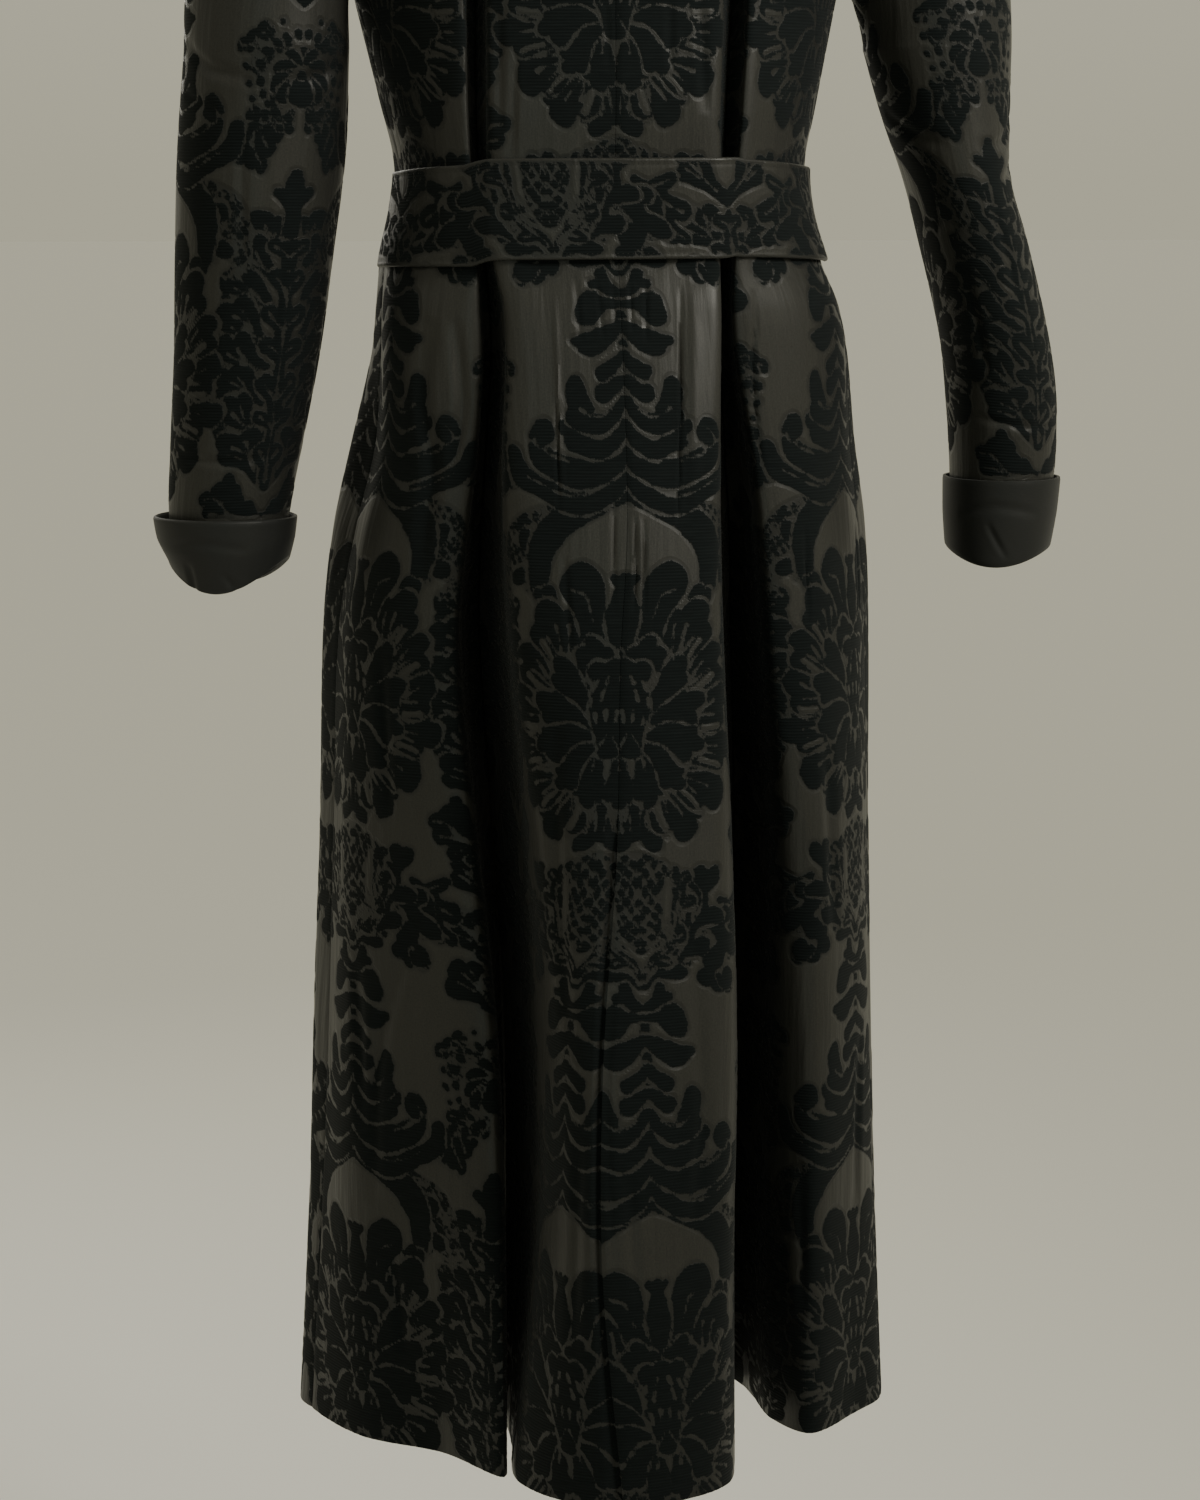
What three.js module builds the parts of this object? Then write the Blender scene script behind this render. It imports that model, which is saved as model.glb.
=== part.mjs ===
// A full-length fitted robe coat in heavy figured cloth, filled out as it hangs when worn.
// Millimetres, +Z up. The origin is between the shoulders at the back of the neck, -Y is the back
// of the coat, +Y its front opening and +X the wearer's right.
import * as THREE from 'three';

// Driving sizes
const CLOTH = 2;
const SEAM_GAP = 0.3;
const HEM_Z = -1262;
const VENT_TOP_Z = -832;
const VENT_LAP = 0.8;
const FRONT_LAP = 0.75;
const UNDER_LAP_PLACE = -0.95;
const LAP_STEP = 4.5;
const LAP_RAMP = 0.3;
const PLEAT_START_Z = -130;
const PHOTO_TOP_Z = -257;
const FRONT_NECK_DROP = 58;
const NECK_DROP_REACH = 190;
const SHOULDER_Z = -58;
const UNDERARM_Z = -243;
const ARMHOLE_HALF_WIDTH = 1.18;
const ARMHOLE_STEPS = 12;
const ROUND_POWER = 2.4;
const STEPS_PER_SPAN = 2;

// Places round half of the coat, counted from the centre back to the centre front
const CENTRE_BACK = 0;
const PLEAT_SEAM = 5;
const SIDE_SEAM = 11;
const CENTRE_FRONT = 15;
const ROUND = 2 * CENTRE_FRONT;

// A table's rows under its named columns
const table = (columns, ...rows) =>
  rows.map((row) => Object.fromEntries(columns.map((name, i) => [name, row[i]])));

// Trunk above the pleats: half width, depth to the back and to the front, place of the back seam
const SHOULDERS = table(
  ['z', 'half', 'back', 'front', 'seam'],
  [   0,  72,  62,  58, 24],
  [ -20, 118,  74,  70, 36],
  [ -40, 156,  83,  80, 47],
  [ -58, 184,  89,  88, 56],
  [ -90, 186,  97, 100, 64],
  [-130, 183, 103, 111, 71],
  [-200, 174, 108, 121, 79],
  [-257, 166, 108, 122, 84],
);

// Centre back: sideways place of the seam and its depth
const CENTRE = table(
  ['z', 'seam', 'y'],
  [ -257,   0, -108],
  [ -330,   0, -110],
  [ -369,   0, -107],
  [ -400,   1, -106],
  [ -432,   2, -107],
  [ -465,   3, -114],
  [ -500,   4, -121],
  [ -563,   5, -133],
  [ -620,   4, -144],
  [ -690,  -1, -155],
  [ -820,  -5, -169],
  [ -960, -16, -187],
  [-1100, -18, -201],
  [-1262,  -4, -206],
);

// Right half of the back: folded edge of the centre panel, bottom of the pleat, rim and crest of
// the side panel, hip and side seam. Each is a sideways place and a depth.
const BACK_RIGHT = table(
  [
    'z', 'edgeX', 'edgeY', 'pleatX', 'pleatY', 'rimX',
    'rimY', 'crestX', 'crestY', 'hipX', 'hipY', 'sideX', 'sideY',
  ],
  [ -257, 72,  -99,  82, -72,  92, -90, 122, -72, 150, -40, 163, -2],
  [ -330, 69, -103,  78, -76,  88, -93, 112, -76, 138, -42, 149, -2],
  [ -369, 70, -101,  77, -76,  85, -93, 108, -76, 132, -40, 142, -2],
  [ -400, 70, -100,  77, -75,  84, -92, 110, -76, 134, -41, 144, -2],
  [ -432, 70, -101,  76, -74,  83, -92, 114, -76, 143, -42, 153, -2],
  [ -465, 70, -108,  76, -68,  82, -93, 122, -80, 155, -44, 166, -2],
  [ -500, 69, -114,  77, -60,  85, -91, 126, -80, 160, -44, 173,  0],
  [ -563, 67, -123,  82, -46,  97, -87, 132, -78, 163, -42, 177,  2],
  [ -620, 66, -130,  87, -34, 104, -85, 138, -78, 169, -40, 184,  4],
  [ -690, 67, -137,  90, -22, 110, -83, 140, -79, 174, -40, 189,  4],
  [ -820, 71, -150,  96,   2, 120, -76, 144, -80, 177, -40, 192,  4],
  [ -960, 74, -160,  98,  24, 121, -66, 144, -79, 178, -42, 195,  0],
  [-1100, 72, -166,  98,  40, 119, -54, 143, -77, 178, -42, 199, -2],
  [-1262, 74, -164, 101,  55, 121, -42, 143, -74, 182, -34, 207,  0],
);

// Left half of the back, its sideways places counted outwards from the middle
const BACK_LEFT = table(
  [
    'z', 'edgeX', 'edgeY', 'pleatX', 'pleatY', 'rimX',
    'rimY', 'crestX', 'crestY', 'hipX', 'hipY', 'sideX', 'sideY',
  ],
  [ -257, 82,  -94, 90, -68, 100,  -86, 128, -68, 154, -38, 166, -2],
  [ -330, 82,  -97, 90, -70,  98,  -88, 116, -74, 138, -42, 148, -2],
  [ -369, 82,  -95, 89, -70,  96,  -87, 112, -74, 130, -42, 139, -2],
  [ -400, 81,  -95, 88, -70,  94,  -87, 112, -74, 132, -42, 142, -2],
  [ -432, 79,  -97, 85, -70,  92,  -88, 114, -74, 140, -42, 149, -2],
  [ -465, 72, -105, 81, -64,  91,  -88, 120, -78, 146, -46, 152, -4],
  [ -500, 71, -109, 80, -56,  89,  -87, 124, -78, 148, -46, 153, -4],
  [ -563, 73, -115, 83, -44,  93,  -85, 128, -76, 151, -44, 158, -2],
  [ -620, 71, -121, 86, -34, 101,  -84, 136, -74, 164, -38, 172,  2],
  [ -690, 66, -128, 87, -24, 108,  -82, 146, -69, 174, -34, 184,  8],
  [ -820, 54, -139, 78,  -6,  97,  -86, 144, -69, 176, -32, 189, 12],
  [ -960, 48, -144, 70,   6,  84,  -98, 138, -73, 178, -36, 194, 14],
  [-1100, 52, -144, 68,  14,  80, -114, 130, -80, 178, -42, 200, 16],
  [-1262, 71, -149, 77,   0,  80, -141, 120, -88, 174, -50, 210, 16],
);

// Front: widest places left and right, then a quarter, a near and the centre place
const FRONT = table(
  ['z', 'wideLeft', 'wideRight', 'wideY', 'quarterX', 'quarterY', 'nearX', 'nearY', 'centreY'],
  [ -257, 164, 160, 38, 128,  88, 62, 116, 122],
  [ -330, 147, 146, 36, 112,  82, 54, 104, 110],
  [ -369, 139, 140, 34, 106,  76, 50,  96, 101],
  [ -400, 142, 144, 34, 106,  76, 50,  95, 100],
  [ -432, 149, 153, 34, 110,  80, 52,  98, 104],
  [ -465, 153, 168, 36, 120,  88, 56, 106, 112],
  [ -500, 157, 176, 38, 126,  94, 58, 112, 118],
  [ -563, 172, 184, 40, 136, 100, 62, 122, 130],
  [ -620, 185, 193, 42, 144, 106, 66, 130, 138],
  [ -690, 193, 196, 44, 150, 112, 70, 138, 146],
  [ -820, 197, 197, 46, 156, 120, 74, 150, 158],
  [ -960, 203, 200, 48, 162, 128, 78, 158, 168],
  [-1100, 208, 203, 48, 168, 136, 82, 168, 176],
  [-1262, 217, 208, 42, 176, 144, 88, 176, 184],
);

// Sleeves: outer and inner edge as seen from behind, middle of the depth and half the depth
const SLEEVE_LEFT = table(
  ['z', 'outer', 'inner', 'midY', 'halfY'],
  [-290, 284, 172,  0, 56],
  [-359, 290, 175,  6, 55],
  [-427, 293, 184, 12, 54],
  [-496, 295, 194, 18, 52],
  [-566, 299, 208, 24, 48],
  [-612, 301, 217, 28, 45],
  [-660, 297, 222, 31, 42],
);
const SLEEVE_RIGHT = table(
  ['z', 'outer', 'inner', 'midY', 'halfY'],
  [-290, 286, 184,  0, 58],
  [-331, 286, 197,  4, 59],
  [-379, 288, 215,  8, 60],
  [-420, 301, 227, 12, 59],
  [-486, 319, 244, 18, 55],
  [-531, 327, 250, 22, 51],
  [-580, 328, 254, 26, 47],
  [-648, 322, 256, 30, 42],
);
const SLEEVE_ROUND = 2 * ARMHOLE_STEPS;
const SLEEVE_HEAD_STEPS = 6;
const SLEEVE_HEAD_Z = -290;
const SLEEVE_DRAPE = [-315, -340, -370, -400, -430, -460, -490, -520, -550, -580, -605, -630];
const ARMHOLE_EASE = 0.7;
const ROW_LEAST = 2;

// Turned-back cuffs: top edge, lowest point, how far the edge rises at the sides, and the flare
const CUFFS = {
  left: { top: -612, bottom: -663, rise: 22, flareOuter: 8, flareInner: 3, turn: 0.25 },
  right: { top: -588, bottom: -650, rise: 12, flareOuter: 2, flareInner: 2, turn: -0.3 },
};
const CUFF_CLOTH = 3;
const CUFF_EASE = 0.8;
const CUFF_FOLD = 5;

// Half-belt over the back of the waist
const BELT = table(
  ['place', 'top', 'bottom'],
  [-10.95, -374, -439],
  [    -9, -370, -437],
  [    -4, -366, -433],
  [     3, -364, -431],
  [     8, -365, -430],
  [  10.8, -371, -436],
);
const BELT_EASE = 2.5;
const BELT_CLOTH = 3;
const BELT_START = -10.95;
const BELT_END_TOP = 10.45;
const BELT_END_BOTTOM = 10.8;
const BELT_STEPS = 44;
const BELT_ROWS = 3;

const mix = (a, b, t) => a + (b - a) * t;
const clamp = (value, low, high) => Math.min(high, Math.max(low, value));
const ease = (t) => {
  const s = clamp(t, 0, 1);
  return s * s * (3 - 2 * s);
};

// A column of a table as a smooth curve of another column, and straight on past its ends
function read(sections, name, at, along = 'z') {
  const falling = sections[0][along] > sections[sections.length - 1][along];
  const rows = falling ? [...sections].reverse() : sections;
  const x = clamp(at, rows[0][along], rows[rows.length - 1][along]);
  let i = 0;
  while (i < rows.length - 2 && x > rows[i + 1][along]) i += 1;
  const slope = (k) => {
    const low = rows[Math.max(k - 1, 0)];
    const high = rows[Math.min(k + 1, rows.length - 1)];
    return (high[name] - low[name]) / (high[along] - low[along]);
  };
  const width = rows[i + 1][along] - rows[i][along];
  const t = (x - rows[i][along]) / width;
  const t2 = t * t;
  const t3 = t2 * t;
  return (
    rows[i][name] * (2 * t3 - 3 * t2 + 1) +
    slope(i) * width * (t3 - 2 * t2 + t) +
    rows[i + 1][name] * (3 * t2 - 2 * t3) +
    slope(i + 1) * width * (t3 - t2) +
    slope(at < x ? 0 : rows.length - 1) * (at - x)
  );
}

const lerpPoint = (a, b, t) => [mix(a[0], b[0], t), mix(a[1], b[1], t)];

// Points of the plain rounded trunk, from the folded edge of the centre panel to the near front
function trunkPlaces(z) {
  const half = read(SHOULDERS, 'half', z);
  const back = read(SHOULDERS, 'back', z);
  const front = read(SHOULDERS, 'front', z);
  const seam = read(SHOULDERS, 'seam', z);
  const round = (x, depth) => depth * (1 - (x / half) ** ROUND_POWER) ** (1 / ROUND_POWER);
  const onBack = (x) => [x, -round(x, back)];
  const onFront = (x) => [x, round(x, front)];
  const rim = seam * 1.12;
  return {
    centre: [0, -back],
    edge: onBack(seam * 0.88),
    pleat: onBack(seam),
    rim: onBack(rim),
    crest: onBack(mix(rim, half, 0.44)),
    hip: onBack(mix(rim, half, 0.84)),
    side: [half, 0],
    wide: onFront(half * 0.955),
    quarter: onFront(half * 0.74),
    near: onFront(half * 0.38),
    front: [0, front],
  };
}

// Points of the pleated coat below, read from the tables
function pleatedPlaces(z, right) {
  const half = right ? BACK_RIGHT : BACK_LEFT;
  const back = (name) => [read(half, `${name}X`, z), read(half, `${name}Y`, z)];
  return {
    centre: [(right ? 1 : -1) * read(CENTRE, 'seam', z), read(CENTRE, 'y', z)],
    edge: back('edge'),
    pleat: back('pleat'),
    rim: back('rim'),
    crest: back('crest'),
    hip: back('hip'),
    side: back('side'),
    wide: [read(FRONT, right ? 'wideRight' : 'wideLeft', z), read(FRONT, 'wideY', z)],
    quarter: [read(FRONT, 'quarterX', z), read(FRONT, 'quarterY', z)],
    near: [read(FRONT, 'nearX', z), read(FRONT, 'nearY', z)],
    front: [0, read(FRONT, 'centreY', z)],
  };
}

// The 16 places of half a section. With the pleat bridged, the edge and the rim are joined straight.
function halfSection(z, right, bridged) {
  const open = ease((PLEAT_START_Z - z) / (PLEAT_START_Z - PHOTO_TOP_Z));
  const plain = z > PHOTO_TOP_Z ? trunkPlaces(z) : null;
  const pleated = open > 0 ? pleatedPlaces(z, right) : null;
  const p = {};
  for (const name of Object.keys(plain ?? pleated)) {
    p[name] = plain && pleated ? lerpPoint(plain[name], pleated[name], open) : (plain ?? pleated)[name];
  }
  const panel = [mix(p.centre[0], p.edge[0], 0.56), mix(p.centre[1], p.edge[1], 0.26)];
  if (bridged) {
    const span = [1, 2, 3, 4, 5].map((k) => lerpPoint(p.edge, p.rim, k / 6));
    return [
      p.centre, panel, p.edge, ...span, p.rim,
      p.crest, p.hip, p.side, p.wide, p.quarter, p.near, p.front,
    ];
  }
  const deep = clamp((p.pleat[1] - p.edge[1]) / 60, 0, 1);
  const innerFold = lerpPoint(p.edge, p.pleat, 0.5);
  innerFold[0] -= 4 * deep;
  const nearBottom = lerpPoint(p.pleat, p.edge, 0.16);
  nearBottom[0] -= 4 * deep;
  const farBottom = lerpPoint(p.pleat, p.rim, 0.2);
  farBottom[0] += 4 * deep;
  const outerFold = lerpPoint(p.rim, p.pleat, 0.5);
  outerFold[0] += 3 * deep;
  return [
    p.centre, panel, p.edge, innerFold, nearBottom, p.pleat, farBottom, outerFold, p.rim,
    p.crest, p.hip, p.side, p.wide, p.quarter, p.near, p.front,
  ];
}

// A whole section: the right half, then the left half back to the centre back
const sectionStore = new Map();
function wholeSection(z, bridged) {
  const key = `${z.toFixed(4)} ${bridged}`;
  if (!sectionStore.has(key)) {
    const right = halfSection(z, true, bridged);
    const left = halfSection(z, false, bridged).map(([x, y]) => [-x, y]);
    sectionStore.set(key, [...right, ...left.slice(1, -1).reverse()]);
  }
  return sectionStore.get(key);
}

// Centripetal curve through four places, read between the second and the third
function between(p0, p1, p2, p3, t) {
  const knot = (a, b) => Math.sqrt(Math.hypot(b[0] - a[0], b[1] - a[1])) + 1e-6;
  const t1 = knot(p0, p1);
  const t2 = t1 + knot(p1, p2);
  const t3 = t2 + knot(p2, p3);
  const s = mix(t1, t2, t);
  const blend = (a, b, from, to) => lerpPoint(a, b, (s - from) / (to - from));
  const a1 = blend(p0, p1, 0, t1);
  const a2 = blend(p1, p2, t1, t2);
  const a3 = blend(p2, p3, t2, t3);
  return blend(blend(a1, a2, 0, t2), blend(a2, a3, t1, t3), t1, t2);
}

// A point of the coat's outer face. The place counts round the coat: 0 centre back, 15 centre
// front, and from there to 30 up the left side. The neckline drops towards the front.
function coatPoint(place, row, bridged = false) {
  const turn = ((place % ROUND) + ROUND) % ROUND;
  const fromFront = Math.abs(turn - CENTRE_FRONT);
  const frontness = ease(1 - fromFront / (CENTRE_FRONT - SIDE_SEAM));
  const z = row - FRONT_NECK_DROP * frontness * ease(1 + row / NECK_DROP_REACH);
  const points = wholeSection(z, bridged);
  const i = Math.floor(turn);
  const pick = (k) => points[(k + ROUND) % ROUND];
  const [x, y] = between(pick(i - 1), pick(i), pick(i + 1), pick(i + 2), turn - i);
  return new THREE.Vector3(x, y, z);
}

function coatNormal(place, row, bridged = false) {
  const across = coatPoint(place + 0.03, row, bridged).sub(coatPoint(place - 0.03, row, bridged));
  const low = Math.max(row - 3, HEM_Z);
  const high = Math.min(row + 3, 0);
  const up = coatPoint(place, high, bridged).sub(coatPoint(place, low, bridged));
  return across.cross(up).normalize();
}

// A closed wall over the cells of a grid. outer and inner give a point for a column and a row, and
// a cell that isn't kept leaves an opening with an edge of its own.
function wall(columns, rows, outer, inner, keep = () => true, closed = false) {
  const index = new Map();
  const positions = [];
  const vertex = (layer, i, j) => {
    const column = closed ? i % columns : i;
    const key = `${layer} ${column} ${j}`;
    if (!index.has(key)) {
      index.set(key, positions.length / 3);
      const p = layer === 0 ? outer(column, j) : inner(column, j);
      positions.push(p.x, p.y, p.z);
    }
    return index.get(key);
  };
  const triangles = [];
  const quad = (a, b, c, d) => triangles.push(a, b, c, a, c, d);
  const cellColumns = closed ? columns : columns - 1;
  const kept = (i, j) => {
    if (j < 0 || j >= rows - 1) return false;
    if (!closed && (i < 0 || i >= cellColumns)) return false;
    return keep((i + cellColumns) % cellColumns, j);
  };
  for (let j = 0; j < rows - 1; j += 1) {
    for (let i = 0; i < cellColumns; i += 1) {
      if (!kept(i, j)) continue;
      const v = (layer, di, dj) => vertex(layer, i + di, j + dj);
      quad(v(0, 0, 0), v(0, 0, 1), v(0, 1, 1), v(0, 1, 0));
      quad(v(1, 0, 0), v(1, 1, 0), v(1, 1, 1), v(1, 0, 1));
      if (!kept(i, j - 1)) quad(v(0, 0, 0), v(0, 1, 0), v(1, 1, 0), v(1, 0, 0));
      if (!kept(i, j + 1)) quad(v(0, 1, 1), v(0, 0, 1), v(1, 0, 1), v(1, 1, 1));
      if (!kept(i - 1, j)) quad(v(0, 0, 1), v(0, 0, 0), v(1, 0, 0), v(1, 0, 1));
      if (!kept(i + 1, j)) quad(v(0, 1, 0), v(0, 1, 1), v(1, 1, 1), v(1, 1, 0));
    }
  }
  const geometry = new THREE.BufferGeometry();
  geometry.setAttribute('position', new THREE.Float32BufferAttribute(positions, 3));
  geometry.setIndex(triangles);
  geometry.computeVertexNormals();
  return geometry;
}

const figured = () => new THREE.MeshStandardMaterial({ color: 0x24221e, roughness: 0.62, metalness: 0 });
const satin = () => new THREE.MeshStandardMaterial({ color: 0x141312, roughness: 0.5, metalness: 0 });

function piece(name, geometry, material) {
  const mesh = new THREE.Mesh(geometry, material);
  mesh.name = name;
  return mesh;
}

// Heights of the rows: close together round the armhole's two ends, at the belt and at the hips
const armholeTurn = (step) => (Math.PI * step) / ARMHOLE_STEPS;
const armholeZ = (turn) => mix(UNDERARM_Z, SHOULDER_Z, (1 + Math.cos(turn)) / 2);
const ROWS = [
  0, -15, -30, -44,
  ...Array.from({ length: ARMHOLE_STEPS + 1 }, (_, k) => armholeZ(armholeTurn(k))),
  -275, -310, -345, -372, -400, -428, -446, -465, -490, -522, -563, -615, -680, -750,
  VENT_TOP_Z, -900, -980, -1070, -1165, HEM_Z,
];

// How far the armhole opens from the side seam, in places, at a row
function armholeHalf(row) {
  const t = (row - UNDERARM_Z) / (SHOULDER_Z - UNDERARM_Z);
  return t <= 0 || t >= 1 ? 0 : ARMHOLE_HALF_WIDTH * Math.sqrt(1 - (2 * t - 1) ** 2);
}

// How many places make a given length at a seam
function placesFor(length, place, row) {
  const step = 0.05;
  const span = coatPoint(place + step, row).distanceTo(coatPoint(place - step, row));
  return (length * 2 * step) / span;
}

// A panel between two seams. Each seam is a place, the way to the panel's inside and, at a side
// seam, the armhole that cuts into it. A lap carries the panel past its second seam, under the
// other half, below the row where the lap starts.
function panel(name, first, second, lap) {
  const way = Math.sign(second - first);
  const main = Math.abs(second - first) * STEPS_PER_SPAN;
  const lapSteps = lap ? 3 : 0;
  const isSide = (place) => place === SIDE_SEAM || place === ROUND - SIDE_SEAM;
  const bound = (place, row, towards) => {
    const hole = isSide(place) ? armholeHalf(row) : 0;
    return place + towards * (hole + placesFor(SEAM_GAP / 2, place, row));
  };
  const placeAt = (i, row) => {
    const start = bound(first, row, way);
    const end = lap && lap.over ? second : bound(second, row, -way);
    if (i <= main) return mix(start, end, i / main);
    return end + way * lap.reach * ((i - main) / lapSteps);
  };
  const sunk = (i, row) => {
    if (!lap || lap.over) return 0;
    const started = lap.from === undefined ? 1 : ease((lap.from + 50 - row) / 50);
    const past = (placeAt(i, row) - second) * way;
    return LAP_STEP * started * ease((past - lap.sunkAt + LAP_RAMP) / (LAP_RAMP * 0.8));
  };
  const outer = (i, j) => {
    const place = placeAt(i, ROWS[j]);
    const depth = sunk(i, ROWS[j]);
    return coatPoint(place, ROWS[j]).addScaledVector(coatNormal(place, ROWS[j]), -depth);
  };
  const inner = (i, j) => outer(i, j).addScaledVector(coatNormal(placeAt(i, ROWS[j]), ROWS[j]), -CLOTH);
  const keep = (i, j) => i < main || lap.from === undefined || ROWS[j] <= lap.from;
  const columns = main + lapSteps + 1;
  const turned = way > 0;
  const at = (face) => (i, j) => face(turned ? i : columns - 1 - i, j);
  const kept = (i, j) => keep(turned ? i : columns - 2 - i, j);
  return piece(name, wall(columns, ROWS.length, at(outer), at(inner), kept), figured());
}

// A ring of the sleeve at a height
function sleeveRing(drape, side, turn, z, grow = 0) {
  const outer = read(drape, 'outer', z);
  const inner = read(drape, 'inner', z);
  const x = (outer + inner) / 2 + ((outer - inner) / 2 + grow) * Math.cos(turn);
  const y = read(drape, 'midY', z) - (read(drape, 'halfY', z) + grow) * Math.sin(turn);
  return new THREE.Vector3(side * x, y, z);
}

// The lower end of a cuff, which rises at its two sides
function cuffBottom(cuff, turn) {
  return cuff.bottom + cuff.rise * Math.cos(turn + cuff.turn) ** 2;
}

// The armhole's edge as a ring, drawn in a little so that the sleeve clears the panels
function armholePoint(side, turn) {
  const row = armholeZ(turn);
  const hole = ARMHOLE_HALF_WIDTH * Math.sin(turn);
  const base = side > 0 ? SIDE_SEAM : ROUND - SIDE_SEAM;
  const edge = coatPoint(base - side * hole, row);
  const middle = coatPoint(base, (SHOULDER_Z + UNDERARM_Z) / 2);
  const inward = middle.sub(edge);
  inward.x = 0;
  return edge.addScaledVector(inward.normalize(), ARMHOLE_EASE);
}

function sleeve(name, side, drape, size) {
  const rows = SLEEVE_HEAD_STEPS + 1 + SLEEVE_DRAPE.length + 1;
  const headPoint = (turn, t) => {
    const start = armholePoint(side, turn);
    const end = sleeveRing(drape, side, turn, SLEEVE_HEAD_Z);
    const height = (1 + Math.cos(turn)) / 2;
    const out = new THREE.Vector3(side, 0, mix(-0.25, -0.3, height)).normalize();
    const leave = start.clone().addScaledVector(out, mix(5, 52, height));
    const arrive = end.clone().add(new THREE.Vector3(0, 0, mix(14, 128, height)));
    return new THREE.CubicBezierCurve3(start, leave, arrive, end).getPoint(t);
  };
  const at = (i, j) => {
    const turn = (2 * Math.PI * i) / SLEEVE_ROUND;
    if (j <= SLEEVE_HEAD_STEPS) return headPoint(turn, j / SLEEVE_HEAD_STEPS);
    const step = j - SLEEVE_HEAD_STEPS - 1;
    const end = cuffBottom(size, turn) + CUFF_FOLD;
    const z = step < SLEEVE_DRAPE.length ? SLEEVE_DRAPE[step] : end;
    return sleeveRing(drape, side, turn, Math.max(z, end + (SLEEVE_DRAPE.length - step) * ROW_LEAST));
  };
  const outer = (i, j) => at((i + SLEEVE_ROUND) % SLEEVE_ROUND, j);
  const normal = (i, j) => {
    const across = outer(i + 1, j).sub(outer(i - 1, j));
    const down = outer(i, Math.min(j + 1, rows - 1)).sub(outer(i, Math.max(j - 1, 0)));
    return across.cross(down).multiplyScalar(side).normalize();
  };
  const inner = (i, j) => outer(i, j).addScaledVector(normal(i, j), -CLOTH);
  const flip = (face) => (i, j) => face(side > 0 ? (SLEEVE_ROUND - i) % SLEEVE_ROUND : i, j);
  return piece(name, wall(SLEEVE_ROUND, rows, flip(outer), flip(inner), undefined, true), figured());
}

// A turned-back cuff: a folded band round the sleeve's end, closed under the sleeve's edge
function cuff(name, side, drape, size) {
  const profile = (turn) => {
    const bottom = cuffBottom(size, turn);
    const sleeveEnd = bottom + CUFF_FOLD;
    const flare = mix(size.flareInner, size.flareOuter, (1 + Math.cos(turn)) / 2);
    const ring = (z, grow) => sleeveRing(drape, side, turn, z, grow);
    const middle = mix(size.top, bottom, 0.5);
    const under = (z, grow, from) => {
      const p = ring(from, grow);
      p.z = z;
      return p;
    };
    return [
      ring(size.top, flare + CUFF_CLOTH),
      ring(middle, 0.7 * flare + CUFF_EASE + CUFF_CLOTH),
      under(bottom + 2, CUFF_EASE + CUFF_CLOTH - 0.4, sleeveEnd),
      under(bottom, CUFF_EASE, sleeveEnd),
      under(bottom + 1, -CLOTH, sleeveEnd),
      under(sleeveEnd - 0.5, -CLOTH, sleeveEnd),
      under(sleeveEnd - 0.5, CUFF_EASE, sleeveEnd),
      ring(middle, 0.7 * flare + CUFF_EASE),
      ring(size.top, flare),
    ];
  };
  const rings = Array.from({ length: SLEEVE_ROUND }, (_, i) => profile((2 * Math.PI * i) / SLEEVE_ROUND));
  const steps = rings[0].length;
  const positions = rings.flat().flatMap((p) => [p.x, p.y, p.z]);
  const triangles = [];
  for (let i = 0; i < SLEEVE_ROUND; i += 1) {
    for (let k = 0; k < steps; k += 1) {
      const a = i * steps + k;
      const b = ((i + 1) % SLEEVE_ROUND) * steps + k;
      const c = ((i + 1) % SLEEVE_ROUND) * steps + ((k + 1) % steps);
      const d = i * steps + ((k + 1) % steps);
      if (side > 0) triangles.push(a, b, c, a, c, d);
      else triangles.push(a, c, b, a, d, c);
    }
  }
  const geometry = new THREE.BufferGeometry();
  geometry.setAttribute('position', new THREE.Float32BufferAttribute(positions, 3));
  geometry.setIndex(triangles);
  geometry.computeVertexNormals();
  return piece(name, geometry, satin());
}

// The half-belt lies on the back panels, moved out from them, and bridges the two pleats
function backBelt() {
  const place = (i, k) => {
    const end = mix(BELT_END_TOP, BELT_END_BOTTOM, k / BELT_ROWS);
    return mix(BELT_START, end, i / BELT_STEPS);
  };
  const face = (lift) => (i, k) => {
    const at = place(i, k);
    const row = mix(read(BELT, 'top', at, 'place'), read(BELT, 'bottom', at, 'place'), k / BELT_ROWS);
    return coatPoint(at, row, true).addScaledVector(coatNormal(at, row, true), lift);
  };
  const geometry = wall(BELT_STEPS + 1, BELT_ROWS + 1, face(BELT_EASE + BELT_CLOTH), face(BELT_EASE));
  return piece('back_belt', geometry, figured());
}

const coat = new THREE.Group();
coat.add(
  panel('back_right', PLEAT_SEAM, CENTRE_BACK),
  panel('back_left', ROUND - PLEAT_SEAM, ROUND, { reach: VENT_LAP, from: VENT_TOP_Z, sunkAt: 0 }),
  panel('side_back_right', PLEAT_SEAM, SIDE_SEAM),
  panel('side_back_left', ROUND - PLEAT_SEAM, ROUND - SIDE_SEAM),
  panel('front_right', SIDE_SEAM, CENTRE_FRONT, { reach: FRONT_LAP, over: true }),
  panel('front_left', ROUND - SIDE_SEAM, CENTRE_FRONT, { reach: FRONT_LAP, sunkAt: UNDER_LAP_PLACE }),
  sleeve('sleeve_right', 1, SLEEVE_RIGHT, CUFFS.right),
  sleeve('sleeve_left', -1, SLEEVE_LEFT, CUFFS.left),
  cuff('cuff_right', 1, SLEEVE_RIGHT, CUFFS.right),
  cuff('cuff_left', -1, SLEEVE_LEFT, CUFFS.left),
  backBelt(),
);

export default coat;
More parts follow.
